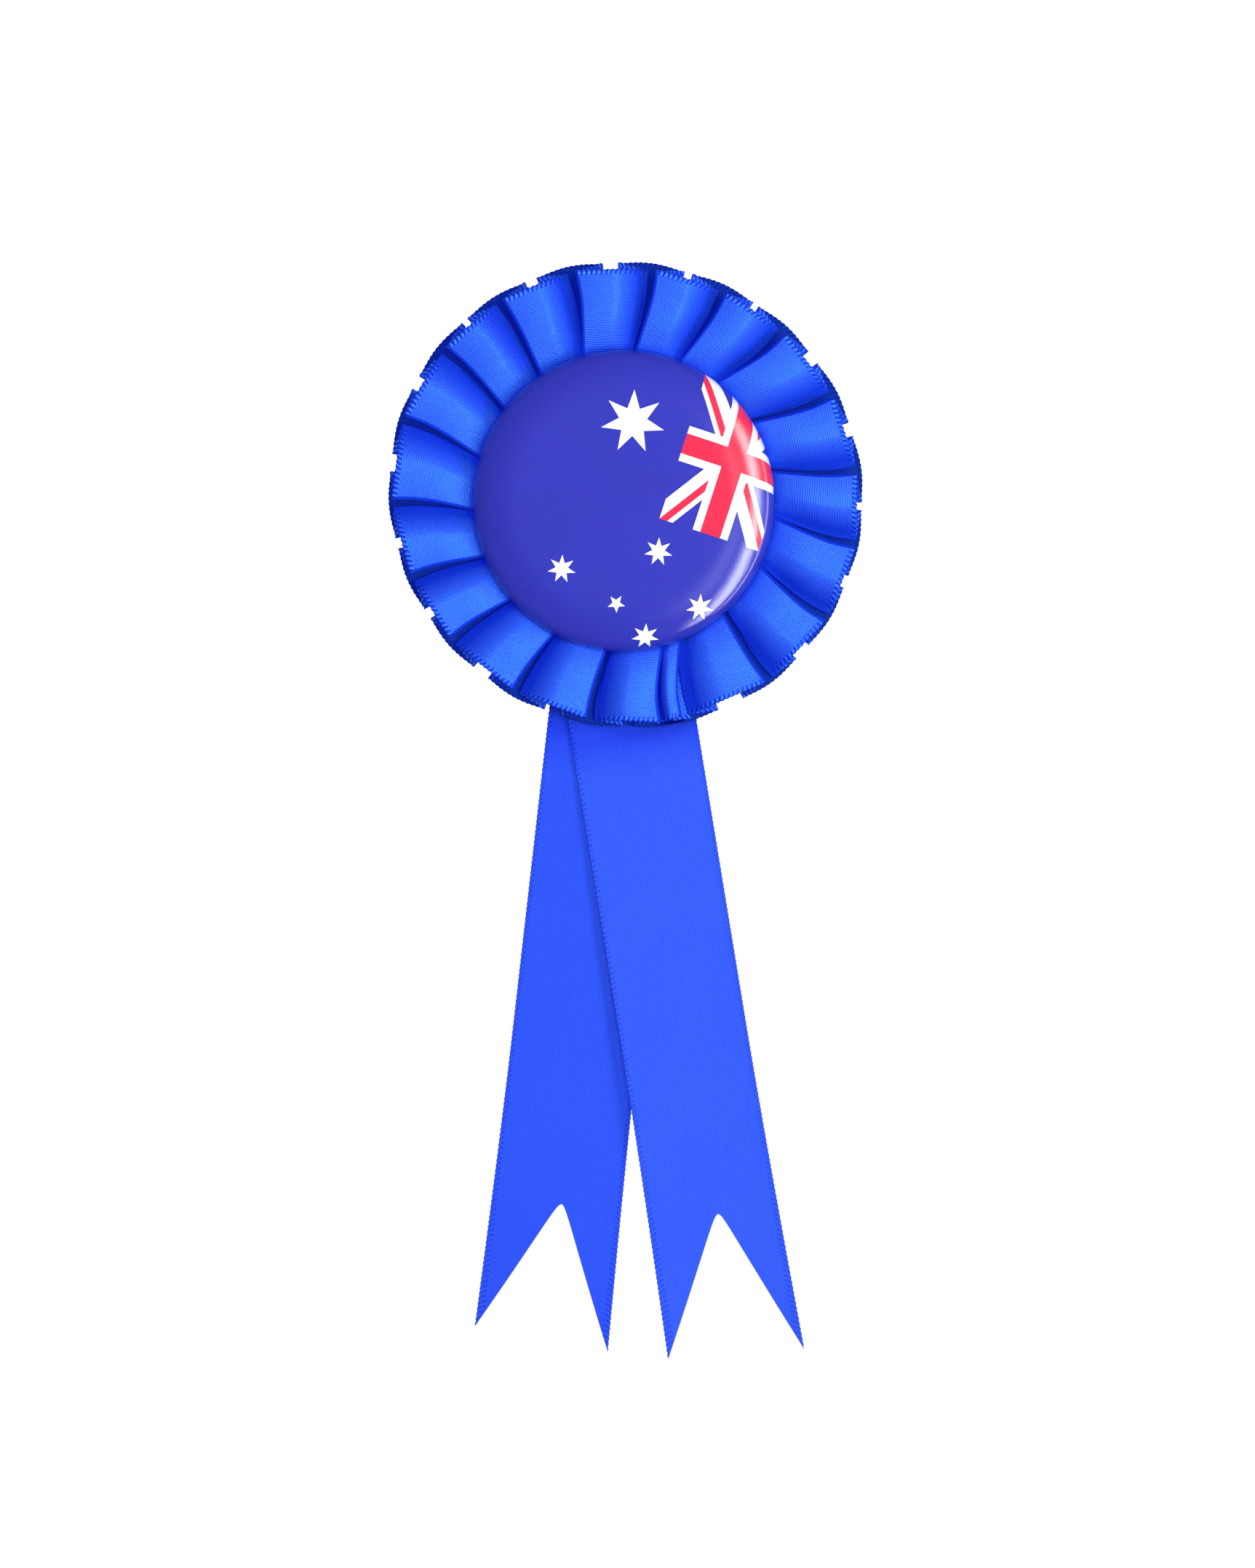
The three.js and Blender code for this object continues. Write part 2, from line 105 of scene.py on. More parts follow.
# Pleats. Angles are degrees clockwise from the top, seen from the front.
PLEATS = 18
FIRST_FOLD = 171.6
PLEAT_PITCH = 19.5
JOIN_PITCH = 10.8
JOIN_LEAN = 3.6                  # how far its outer end leans over, in degrees
SLOW_SWAY = 1.65
QUICK_SWAY = 0.76
FOLD_CURVE = 0.056               # how far a fold bends round towards the badge, in degrees
FOLD_BEND_FROM = 42.0            # the folds run straight outside this radius
FOLD_BEND_POWER = 1.7
FRONT_RADIUS = 44.3
REAR_RADIUS = 44.8
REAR_BULGE = 0.018               # of the radius, in the middle of a rear panel
REAR_OUT = 0.6                   # the rear panels reach this much further round the top
RING_UP = 0.7                    # the ring stands out further at the top than at the bottom
RING_WIDE = 0.45                 # and further at its sides than at either
RING_SKEW = 0.6                  # and further at upper left and lower right
INNER_RADIUS = 20.3
BADGE_COVERS = 0.36              # share of the ribbon's width that the badge hides
OUTER_PLEAT = {"tuck": 5.3, "gap": 1.6, "rear": 5.1, "low": 6.3, "high": 9.5}
INNER_PLEAT = {"tuck": 2.4, "gap": -0.3, "rear": 5.1, "low": 6.2, "high": 6.9}
CLIMB = (26.0, 37.0)             # radii between which the panels rise out from under the badge
PANEL_CROWN = 0.95
PANEL_DROP_FROM = 0.5            # share of a panel's width where it starts to fall away
PANEL_DROP_POWER = 1.6
REAR_TILT = 1.5                  # how far the rear panels bend back at their selvedge
REAR_TILT_FROM = 37.0
FRONT_FOLD = 0.36
REAR_FOLD = 0.35
# How far a pleat may differ from the others, and how much its crown and its folds' bend may.
WOBBLE = {"high": 0.25, "low": 0.2, "reach": 0.25}
OWN_CROWN = (0.8, 1.2)
JOIN_CROWN = 0.5
OWN_BEND = (0.6, 1.4)
CREASE = 0.06
# Rows of the ribbon's mesh, as shares of its width: closer on the climb and at the selvedge.
ROWS = [0, 0.1, 0.2, 0.29, 0.35, 0.38, 0.41, 0.45, 0.5, 0.56, 0.63, 0.72, 0.81, 0.88, 0.93, 0.96, 0.98, 1]
# Painted shade: how deep in a fold a point is taken to lie, from 0 in the open to 1, and so how much
# darker its colour is painted.
PANEL_PAINTED_SHADE = 0.6
WALL_PAINTED_SHADE = 0.76
BADGE_RIM_PAINTED_SHADOW = 0.55
PICOT_PITCH = 1.0                # loops along the selvedge
PLEAT_PICOT = 0.09               # and how far they stand out
TAIL_PICOT = 0.06
WEAVE_PITCH = 0.44               # rows of the weave
WEAVE_TILT = 4.0                 # the rows' angle to the selvedge, in degrees
FLOAT_PITCH = 0.55               # floats in a row

# Tails: hinge line, tilt from straight down, and how far the cut reaches below the hinge.
HINGES = {j["name"]: j["pos_m"] for j in frame["record"]["behaviour"]["joints"]}
TAIL_TOP = 34.0
TAIL_HALF_TOP = 12.25
TAIL_HALF_TIP = 13.1
TAIL_WAVES_FROM = 110.0          # below this the waves, the cup and the lean are at their full size
TAIL_CURL_REACH = 33.0
# wave is height, length and phase; curl is height and start; lean is at the end. + is backward.
LEFT_TAIL = {
    "joint": "left_tail_swing", "body": "left_tail_free", "nodes": ("left_tail_root", "left_tail"),
    "slot": "satin_rear", "tilt": -6.5, "tips": (116.5, 118.5), "notch": 91.0,
    "wave": (0.5, 23, 0.6), "cup": 0.25, "curl": (1.6, 85), "lean": 0.4,
}
RIGHT_TAIL = {
    "joint": "right_tail_swing", "body": "right_tail_free", "nodes": ("right_tail_root", "right_tail"),
    "slot": "satin_front", "tilt": 9.3, "tips": (119.7, 122.0), "notch": 93.7,
    "wave": (0.45, 26, 2.0), "cup": -0.25, "curl": (-1.4, 88), "lean": -1.6,
}
# Columns of a tail's mesh, from -1 to 1 across it: closer at the edges and at the cut's apex.
TAIL_COLUMNS = [
    -1, -0.99, -0.975, -0.955, -0.92, -0.86, -0.76, -0.64, -0.52, -0.4, -0.3, -0.21, -0.13, -0.06,
    -0.01, 0.03, 0.06, 0.09, 0.12, 0.16, 0.21, 0.28, 0.37, 0.48, 0.6, 0.72, 0.82, 0.9,
    0.955, 0.975, 0.99, 1,
]
NOTCH_ACROSS = 1.0               # the cut's apex lies a little to the right of the middle

# The photograph's framing: what its height spans, and the point in its middle.
VIEW_HEIGHT = 303.6
VIEW_CENTRE = (0.3, RING_Z - 54.9)
FLOOR_Z = RING_Z - 800
CAMERA_DISTANCE = 1500.0
LIGHT_TARGET_Z = RING_Z - 20
LIGHT_DISTANCE = 1.4             # metres


# ---- Camera, floor and light ----

def make_camera():
    data = bpy.data.cameras.new("camera")
    data.sensor_width = 36
    data.lens = 36 * CAMERA_DISTANCE / VIEW_HEIGHT
    camera = bpy.data.objects.new("camera", data)
    camera.location = (mm(VIEW_CENTRE[0]), -mm(CAMERA_DISTANCE), mm(VIEW_CENTRE[1]))
    camera.rotation_euler = (radians(90), 0, 0)
    bpy.context.collection.objects.link(camera)
    bpy.context.scene.camera = camera


def area_light(name, off_axis, azimuth, width, height, power, mirrored=True, only=None):
    """A soft light aimed at the rosette. off_axis is its angle from straight in front, and
    azimuth its direction seen from the front: 0 is to the right, 90 above. only names a
    collection of the pieces that it shines on."""
    data = bpy.data.lights.new(name, "AREA")
    data.shape = "RECTANGLE"
    data.energy = power
    data.size, data.size_y = width, height
    off, turn = radians(off_axis), radians(azimuth)
    away = Vector((sin(off) * cos(turn), -cos(off), sin(off) * sin(turn)))
    light = bpy.data.objects.new(name, data)
    light.location = Vector((0, 0, mm(LIGHT_TARGET_Z))) + away * LIGHT_DISTANCE
    light.rotation_euler = away.to_track_quat("Z", "Y").to_euler()
    light.visible_camera = False
    light.visible_glossy = mirrored
    if only is not None:
        light.visible_diffuse = False
        light.light_linking.receiver_collection = only
    bpy.context.collection.objects.link(light)


# What the world gives as light, mirrors in gloss and shows to the camera: colour and strength.
SKY_LIGHT = ((0.93, 0.96, 1.0, 1), 0.2)
SKY_MIRRORED = ((0.9, 0.95, 1.0, 1), 0.1)
SKY_SEEN = ((1, 1, 1, 1), 1.0)


def make_stage():
    bpy.context.scene.view_settings.view_transform = "Standard"
    world = bpy.data.worlds.new("studio")
    bpy.context.scene.world = world
    world.use_nodes = True
    nodes, links = world.node_tree.nodes, world.node_tree.links
    nodes.clear()
    path = nodes.new("ShaderNodeLightPath")
    shown = []
    for colour, strength in (SKY_LIGHT, SKY_MIRRORED, SKY_SEEN):
        ground = nodes.new("ShaderNodeBackground")
        ground.inputs["Color"].default_value = colour
        ground.inputs["Strength"].default_value = strength
        shown.append(ground.outputs[0])
    sky = shown[0]
    for ray, other in zip(("Is Glossy Ray", "Is Camera Ray"), shown[1:]):
        mix = nodes.new("ShaderNodeMixShader")
        for socket, value in zip(mix.inputs, (path.outputs[ray], sky, other)):
            links.new(value, socket)
        sky = mix.outputs[0]
    links.new(sky, nodes.new("ShaderNodeOutputWorld").inputs["Surface"])

    bpy.ops.mesh.primitive_plane_add(size=6, location=(0, 0, mm(FLOOR_Z)))
    floor = bpy.context.object
    floor.name = "floor"
    floor.data.materials.append(floor_material())
    floor.visible_glossy = False
    floor.visible_diffuse = False

    area_light("key", 52, -15, 0.5, 0.5, 12.0, mirrored=False)
    area_light("front_fill", 12, 120, 1.2, 1.2, 16.5, mirrored=False)
    area_light("soft_window", 22, -14, 0.34, 1.1, 1.6, only=GLAZED)
    area_light("satin_window", 26, -8, 0.26, 1.2, 22.0, only=SATIN)
    area_light("window", 48, -14, 0.22, 2.4, 34.0, only=GLAZED)
    area_light("window_edge", 78, -10, 0.12, 2.2, 12.0, only=GLAZED)
    area_light("behind", 150, 60, 0.8, 0.8, 9.0)


# ---- Materials ----

class Nodes:
    """A short way to write a material's node tree."""

    def __init__(self, name):
        self.material = bpy.data.materials.new(name)
        self.material.use_nodes = True
        self.tree = self.material.node_tree
        self.tree.nodes.clear()
        self.shader = self.new("BsdfPrincipled")
        self.new("OutputMaterial", Surface=self.shader.outputs[0])

    def put(self, socket, value):
        if isinstance(value, bpy.types.NodeSocket):
            self.tree.links.new(value, socket)
        else:
            socket.default_value = value

    def new(self, kind, *values, **named):
        node = self.tree.nodes.new("ShaderNode" + kind)
        for socket, value in zip(node.inputs, values):
            self.put(socket, value)
        for name, value in named.items():
            self.put(node.inputs[name], value)
        return node

    def math(self, operation, *values, clamp=False):
        node = self.new("Math", *values)
        node.operation = operation
        node.use_clamp = clamp
        return node.outputs[0]

    def add(self, first, second, clamp=False):
        return self.math("ADD", first, second, clamp=clamp)

    def sub(self, first, second):
        return self.math("SUBTRACT", first, second)

    def mul(self, first, second):
        return self.math("MULTIPLY", first, second)

    def mix(self, share, first, second):
        node = self.new("Mix", share)
        node.data_type = "RGBA"
        self.put(node.inputs[6], first)
        self.put(node.inputs[7], second)
        return node.outputs[2]

    def noise(self, vector, scale, detail=2.0, rough=0.5):
        node = self.new("TexNoise", Vector=vector, Scale=scale, Detail=detail, Roughness=rough)
        return node.outputs[0]

    def scaled(self, vector, scale):
        node = self.new("VectorMath", vector, scale)
        node.operation = "MULTIPLY"
        return node.outputs[0]

    def place(self):
        """The point on the object in its own metres."""
        return self.new("TexCoord").outputs["Object"]

    def attribute(self, name):
        node = self.new("Attribute")
        node.attribute_name = name
        vector = node.outputs["Vector"]
        return vector, *self.new("SeparateXYZ", vector).outputs

    def ramp(self, value, low, high):
        """0 at low, 1 at high, straight between."""
        return self.new("MapRange", value, low, high).outputs[0]

    def bump(self, height, distance, strength=1.0):
        return self.new("Bump", Height=height, Distance=distance, Strength=strength).outputs[0]

    def set(self, **values):
        for name, value in values.items():
            self.put(self.shader.inputs[name.replace("_", " ")], value)
        return self.material


def floor_material():
    m = Nodes("floor")
    grain = m.noise(m.place(), 9.0)
    m.set(Emission_Color=(0.97, 0.98, 1.0, 1), Emission_Strength=0.55)
    return m.set(Base_Color=m.mix(grain, (0.86, 0.86, 0.86, 1), (0.9, 0.9, 0.9, 1)), Roughness=0.8)


# Painted shade colours for the satin's folds, and a painted glow for the deepest of them.
SHADED = (0.003, 0.016, 0.72, 1)
DEEP_SHADED = (0.0005, 0.003, 0.15, 1)
FOLD_PAINTED_GLOW = (0.001, 0.004, 0.17, 1)


def satin_material(name, bright, deep, weave_shows=1.2, loops_show=0.8):
    """Satin ribbon. The attribute cloth holds millimetres along it and across it, and the
    painted shade: how deep in a fold the point is taken to lie."""
    m = Nodes(name)
    cloth, along, across, painted_shade = m.attribute("cloth")
    place = m.scaled(cloth, (1.0, 1.0, 0.0))
    # Rows of short floats, each row set half a float on from the last.
    waver = m.mul(m.noise(place, 0.4), 0.6)
    tilt = radians(WEAVE_TILT)
    row = m.add(m.mul(across, cos(tilt)), m.mul(along, sin(tilt)))
    row = m.add(row, waver)
    step = m.add(m.math("DIVIDE", along, FLOAT_PITCH), m.math("DIVIDE", row, 2 * WEAVE_PITCH))
    row = m.math("SINE", m.mul(row, 2 * pi / WEAVE_PITCH))
    step = m.math("SINE", m.mul(step, 2 * pi))
    weave = m.mul(m.mul(m.add(row, 1.0), m.add(step, 1.4)), 1 / 4.8)
    # Loops of the selvedge, along both edges.
    edge = m.math("MINIMUM", across, m.sub(RIBBON_WIDTH, across))
    hem = m.ramp(edge, 1.05, 0.8)
    lean = m.mul(edge, 0.35)
    loop = m.math("SINE", m.mul(m.add(along, lean), 2 * pi / PICOT_PITCH))
    loops = m.mul(hem, loop)
    weave = m.mul(weave, m.sub(1.0, hem))
    # Colour: slow changes of dye, the weave, and darker gaps between loops.
    slow = m.noise(place, 0.05, 3.0)
    thread = m.noise(m.scaled(cloth, (0.6, 2.5, 0.0)), 0.8, 2.0)
    tone = m.add(m.mul(slow, 0.24), m.mul(thread, 0.16))
    tone = m.add(tone, m.mul(weave, weave_shows))
    tone = m.add(tone, m.mul(loops, loops_show), clamp=True)
    colour = m.mix(tone, (*deep, 1), (*bright, 1))
    # Painted shade: the colour darkens to SHADED on the falling ends of the front panels and along the
    # badge's rim, then to DEEP_SHADED in the walls and rear panels.
    colour = m.mix(m.ramp(painted_shade, 0.0, PANEL_PAINTED_SHADE), colour, SHADED)
    colour = m.mix(m.ramp(painted_shade, PANEL_PAINTED_SHADE, 1.0), colour, DEEP_SHADED)
    rough = m.add(0.3, m.mul(thread, 0.12))
    rough = m.add(rough, m.mul(m.ramp(painted_shade, 0.0, PANEL_PAINTED_SHADE), 0.45))
    # Painted glow: an emission in the walls and rear panels stands in for the little light that the thin
    # ribbon lets through into its folds.
    painted_glow = m.mix(m.ramp(painted_shade, 0.62, 0.75), (0, 0, 0, 1), FOLD_PAINTED_GLOW)
    m.set(Emission_Color=painted_glow, Emission_Strength=1.0)
    height = m.add(m.mul(weave, 2.5), m.mul(loops, 3.0))
    normal = m.bump(height, 0.00003, 1.0)
    m.set(Base_Color=colour, Roughness=rough, Normal=normal, IOR=1.8, Anisotropic=0.5)
    m.set(Specular_IOR_Level=0.6, Specular_Tint=(0.08, 0.46, 1.0, 1))
    return m.set(Sheen_Weight=0.05, Sheen_Roughness=0.35, Sheen_Tint=(0.1, 0.5, 1.0, 1))


def steel_material(name, colour, rough, streak):
    m = Nodes(name)
    place = m.place()
    grain = m.noise(m.scaled(place, (40.0, 900.0, 900.0)), 6.0, 3.0)
    smudge = m.noise(place, 120.0, 3.0)
    tint = m.mix(smudge, (*colour, 1), tuple(c * 0.82 for c in colour) + (1,))
    roughness = m.add(rough, m.mul(grain, streak))
    normal = m.bump(grain, 0.00001, 0.25)
    return m.set(Base_Color=tint, Roughness=roughness, Metallic=1.0, Normal=normal)


def board_material():
    m = Nodes("white_board")
    place = m.place()
    fibre = m.noise(m.scaled(place, (1.0, 1.0, 2.5)), 900.0, 4.0)
    cloud = m.noise(place, 60.0, 3.0)
    tone = m.mix(cloud, (0.78, 0.76, 0.7, 1), (0.86, 0.85, 0.81, 1))
    tone = m.mix(m.ramp(fibre, 0.62, 0.75), tone, (0.62, 0.58, 0.5, 1))
    return m.set(Base_Color=tone, Roughness=0.88, Normal=m.bump(fibre, 0.00006, 0.5))


def foam_material():
    m = Nodes("foam_tape")
    cells = m.new("TexVoronoi", Vector=m.place(), Scale=2600).outputs["Distance"]
    tone = m.mix(cells, (0.7, 0.7, 0.67, 1), (0.88, 0.88, 0.86, 1))
    return m.set(Base_Color=tone, Roughness=0.9, Normal=m.bump(cells, 0.00008, 0.6))


def glue_material():
    m = Nodes("set_glue")
    cloud = m.noise(m.place(), 300.0, 4.0)
    tone = m.mix(cloud, (0.74, 0.68, 0.5, 1), (0.86, 0.82, 0.7, 1))
    m.set(Coat_Weight=0.4)
    return m.set(Base_Color=tone, Roughness=0.45, Normal=m.bump(cloud, 0.0001, 0.5))


# ---- Mesh helpers ----

def link(name, mesh, material):
    piece = bpy.data.objects.new(name, mesh)
    bpy.context.collection.objects.link(piece)
    mesh.materials.append(material)
    mesh.polygons.foreach_set("use_smooth", [True] * len(mesh.polygons))
    mesh.update()
    return piece


def store_vectors(mesh, name, values):
    attribute = mesh.attributes.new(name, "FLOAT_VECTOR", "POINT")
    attribute.data.foreach_set("vector", np.asarray(values, np.float32).ravel())


def cloth_mesh(name, middle, cloth, thick, painted_shade):
    """A thin closed sheet from a grid of points in millimetres, rows by columns.
    cloth holds each point's place along and across the ribbon, and painted_shade, one for each
    side, is 1 deep in a fold, where the colour is painted darkest as shade."""
    rows, columns = middle.shape[:2]
    down = np.gradient(middle, axis=0)
    across = np.gradient(middle, axis=1)
    normal = np.cross(down, across)
    normal /= np.linalg.norm(normal, axis=2, keepdims=True) + 1e-12
    sides = [middle + normal * thick / 2, middle - normal * thick / 2]
    points = np.concatenate([s.reshape(-1, 3) for s in sides]) * MM
    index = np.arange(rows * columns).reshape(rows, columns)
    a, b = index[:-1, :-1].ravel(), index[:-1, 1:].ravel()
    c, d = index[1:, 1:].ravel(), index[1:, :-1].ravel()
    back = rows * columns
    faces = [np.stack([a, d, c, b], 1), np.stack([a, b, c, d], 1) + back]
    rim = np.concatenate([index[0, :], index[1:, -1], index[-1, -2::-1], index[-2:0:-1, 0]])
    after = np.roll(rim, -1)
    faces.append(np.stack([rim, after, after + back, rim + back], 1))
    mesh = new_mesh(name, points.tolist(), np.concatenate(faces).tolist())
    mesh.validate()
    flat = [np.concatenate([cloth.reshape(-1, 2), side.reshape(-1, 1)], 1) for side in painted_shade]
    store_vectors(mesh, "cloth", np.concatenate(flat))
    return mesh


def turned_mesh(name, profile, segments, centre=(0.0, 0.0), axis="Y"):
    """Turns a closed profile of (radius, height in front of the back card) round an axis."""
    points = []
    for step in range(segments):
        angle = 2 * pi * step / segments
        for radius, height in profile:
            x, z = mm(centre[0] + radius * cos(angle)), mm(centre[1] + radius * sin(angle))
            points.append((x, mm(-height), z) if axis == "Y" else (x, z, mm(height)))
    count = len(profile)
    faces = []
    for step in range(segments):
        here, there = step * count, ((step + 1) % segments) * count
        for k in range(count - 1):
            faces.append((here + k, here + k + 1, there + k + 1, there + k))
    return tidy_mesh(new_mesh(name, points, faces))


def new_mesh(name, points, faces):
    mesh = bpy.data.meshes.new(name)
    mesh.from_pydata(points, [], faces)
    return mesh


def tidy_mesh(mesh):
    """Merges doubled points and turns the faces outward."""
    b = bmesh.new()
    b.from_mesh(mesh)
    bmesh.ops.remove_doubles(b, verts=b.verts, dist=2e-6)
    bmesh.ops.dissolve_degenerate(b, edges=b.edges, dist=1e-7)
    bmesh.ops.recalc_face_normals(b, faces=b.faces)
    b.to_mesh(mesh)
    b.free()
    return mesh


def plate_mesh(name, outlines, thick, edge, turn):
    """A flat plate with rounded edges, from outlines in millimetres; later ones are holes.
    turn is the matrix from the drawing to the object, the plate's middle plane in x and y."""
    curve = bpy.data.curves.new(name, "CURVE")
    curve.dimensions = "2D"
    curve.fill_mode = "BOTH"
    curve.extrude = mm(thick / 2 - edge)
    curve.bevel_depth = mm(edge)
    curve.bevel_resolution = 2
    for outline in outlines:
        spline = curve.splines.new("POLY")
        spline.points.add(len(outline) - 1)
        for point, (x, y) in zip(spline.points, outline):
            point.co = (mm(x), mm(y), 0, 1)
        spline.use_cyclic_u = True
    holder = bpy.data.objects.new(name, curve)
    mesh = bpy.data.meshes.new_from_object(holder)
    bpy.data.objects.remove(holder)
    mesh.transform(turn)
    return tidy_mesh(mesh)


def turned_to(x_axis, y_axis, place):
    """The matrix that takes a drawing's x and y along these axes, with its middle at place."""
    x_axis, y_axis = Vector(x_axis), Vector(y_axis)
    turn = Matrix((x_axis, y_axis, x_axis.cross(y_axis))).transposed().to_4x4()
    turn.translation = Vector(place) * MM
    return turn


def facing(place):
    """The matrix for a drawing that lies parallel to the cards."""
    return turned_to((1, 0, 0), (0, 0, 1), place)


def rounded_rect(width, height, radius, steps=8):
    points = []
    for corner, (sx, sy) in enumerate(((1, 1), (-1, 1), (-1, -1), (1, -1))):
        for k in range(steps + 1):
            angle = radians(90 * corner + 90 * k / steps)
            x = sx * (width / 2 - radius) + radius * cos(angle)
            y = sy * (height / 2 - radius) + radius * sin(angle)
            points.append((x, y))
    return points


def circle(x, y, radius, steps=40):
    angles = [2 * pi * k / steps for k in range(steps)]
    return [(x + radius * cos(a), y + radius * sin(a)) for a in angles]


def open_ring(inner, outer, slot, steps=36):
    """The outline of a ring that is open over a slot of this half-angle about its y axis."""
    angles = [radians(90 + slot + (360 - 2 * slot) * k / steps) for k in range(steps + 1)]
    outside = [(outer * cos(a), outer * sin(a)) for a in angles]
    inside = [(inner * cos(a), inner * sin(a)) for a in reversed(angles)]
    return outside + inside


def wire_mesh(name, path, radius, sides=16, taper=None):
    """A round wire along a path in millimetres. taper holds the radius share at each point."""
    path = np.array(path, float)
    along = np.gradient(path, axis=0)
    along /= np.linalg.norm(along, axis=1, keepdims=True)
    side = np.array([0.0, 0.0, 1.0]) if abs(along[0][2]) < 0.9 else np.array([1.0, 0.0, 0.0])
    points, faces = [], []
    for k, (place, ahead) in enumerate(zip(path, along)):
        side = side - ahead * side.dot(ahead)
        side /= np.linalg.norm(side)
        other = np.cross(ahead, side)
        r = radius * (taper[k] if taper is not None else 1.0)
        for step in range(sides):
            angle = 2 * pi * step / sides
            points.append(place + r * (side * cos(angle) + other * sin(angle)))
        if k:
            low, high = (k - 1) * sides, k * sides
            for step in range(sides):
                after = (step + 1) % sides
                faces.append((low + step, low + after, high + after, high + step))
    faces.append(tuple(range(sides))[::-1])
    faces.append(tuple(range(len(points) - sides, len(points))))
    return tidy_mesh(new_mesh(name, [tuple(p * MM) for p in points], faces))


def joined(name, meshes):
    points, faces = [], []
    for mesh in meshes:
        first = len(points)
        points += [tuple(v.co) for v in mesh.vertices]
        faces += [tuple(first + i for i in face.vertices) for face in mesh.polygons]
        bpy.data.meshes.remove(mesh)
    return new_mesh(name, points, faces)


def rounded_path(corners, radius, steps=8):
    """A path through corner points, with each inner corner rounded."""
    corners = [np.array(c, float) for c in corners]
    path = [corners[0]]
    for before, corner, after in zip(corners, corners[1:], corners[2:]):
        into = (before - corner) / np.linalg.norm(before - corner)
        out = (after - corner) / np.linalg.norm(after - corner)
        first, last = corner + into * radius, corner + out * radius
        for k in range(steps + 1):
            t = k / steps
            path.append((1 - t) ** 2 * first + 2 * t * (1 - t) * corner + t * t * last)
    path.append(corners[-1])
    return path


CRISP_FROM = radians(35)         # edges sharper than this stay crisp in the smooth shading


def add_piece(name, mesh, nodes, material, body="rosette", crisp=True):
    piece = link(name, mesh, material)
    if crisp:
        mesh.set_sharp_from_angle(angle=CRISP_FROM)
    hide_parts(*nodes)
    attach(piece, body)
    return piece


def add_steel(name, mesh, node, body="rosette"):
    add_piece(name, mesh, [node], NICKEL, body)


# ---- Pleated ribbon ----

def fold_angle(index):
    if index > PLEATS:
        return fold_angle(PLEATS) + JOIN_PITCH * (index - PLEATS)
    slow = SLOW_SWAY * sin(2 * pi * (index - 1.4) / PLEATS)
    quick = QUICK_SWAY * sin(2 * pi * (index - 2.2) / 3.56)
    return FIRST_FOLD + PLEAT_PITCH * index + slow + quick


def ring_shape(angle, radius):
    """How much further out than radius the outer selvedge stands at an angle."""
    if radius < FRONT_RADIUS:
        return 0.0
    return RING_UP * cos(angle) - RING_WIDE * cos(2 * angle) - RING_SKEW * sin(2 * angle)


def between(value, low, high):
    """0 at low, 1 at high, straight between and level outside."""
    return np.clip((value - low) / (high - low), 0, 1)


def at(angle, height, radius):
    return (radius * sin(angle), -height, radius * cos(angle))


class Section:
    """The ribbon's middle line at one selvedge: points, and which pleat and share each has."""

    def __init__(self):
        self.points = []
        self.share = []      # 0 to 1 across a front panel, and -1 elsewhere
        self.pleat = []

    def polar(self, angle, height, radius, pleat, share=-1.0):
        self.points.append(at(angle, height, radius))
        self.share.append(share)
        self.pleat.append(pleat)

    def straight(self, target, steps, pleat, panel=False, bulge=0.0):
        """Points between the last one and target, leaving both out. bulge is how far the
        middle stands out from the straight line, as a share of its radius."""
        start = np.array(self.points[-1])
        for k in range(1, steps):
            t = k / steps
            point = start + (np.array(target) - start) * t
            point[[0, 2]] *= 1 + bulge * sin(pi * t)
            self.points.append(tuple(point))
            self.share.append(t if panel else -1.0)
            self.pleat.append(pleat)


PANEL_STEPS = 62
REAR_STEPS = 34
UNDER_STEPS = 7
FOLD_STEPS = 6


def ribbon_section(pleat, radius, rear_radius, wobble):
    section = Section()
    per_mm = 1 / radius

    def fold(angle, height, bend, side, start, r, index):
        for k in range(FOLD_STEPS + 1):
            turn = -90 + 180 * k / FOLD_STEPS
            out = bend * cos(radians(turn))
            up = bend * sin(radians(turn)) * start
            section.polar(angle + side * out * per_mm, height + up, r, index)

    def rear_at(angle):
        out = REAR_OUT * min(max(cos(angle) + 0.35, 0), 1) if rear_radius > INNER_RADIUS else 0
        return rear_radius + ring_shape(angle, rear_radius) + out

    def fold_at(index):
        lean = JOIN_LEAN if index == PLEATS and radius == FRONT_RADIUS else 0.0
        return radians(fold_angle(index) + lean)

    for index in range(PLEATS + 1):
        here, there = wobble[index], wobble[index + 1]
        start, following = fold_at(index), fold_at(index + 1)
        high = pleat["high"] + here["high"]
        low = pleat["low"] + here["low"]
        first = start + FRONT_FOLD * per_mm
        last = following - (pleat["gap"] + FRONT_FOLD) * per_mm
        r_first = radius + here["reach"] + ring_shape(first, radius)
        r_last = radius + there["reach"] + ring_shape(last, radius)
        rear_top = pleat["rear"] + 2 * REAR_FOLD
        if index == 0:
            cut = start + (pleat["tuck"] - REAR_FOLD) * per_mm
            section.polar(cut, rear_top, rear_at(cut), index)
        section.straight(at(first, high - FRONT_FOLD, r_first), UNDER_STEPS, index)
        fold(first, high, FRONT_FOLD, -1, 1, r_first, index)
        section.straight(at(last, low + FRONT_FOLD, r_last), PANEL_STEPS, index, panel=True)
        fold(last, low, FRONT_FOLD, 1, -1, r_last, index)
        left = following - (pleat["gap"] + pleat["tuck"]) * per_mm
        right = following + (pleat["tuck"] - REAR_FOLD) * per_mm
        section.straight(at(left, rear_top, rear_at(left)), UNDER_STEPS, index)
        fold(left, pleat["rear"] + REAR_FOLD, REAR_FOLD, -1, -1, rear_at(left), index)
        bulge = REAR_BULGE if radius == FRONT_RADIUS else 0.0
        section.straight(at(right, pleat["rear"], rear_at(right)), REAR_STEPS, index, bulge=bulge)
        if index < PLEATS:
            fold(right, pleat["rear"] + REAR_FOLD, REAR_FOLD, 1, 1, rear_at(right), index)
        else:
            section.polar(right, pleat["rear"], rear_at(right), index)
    return section


def draws(rng, low, high, count):
    return np.array([rng.uniform(low, high) for _ in range(count)])


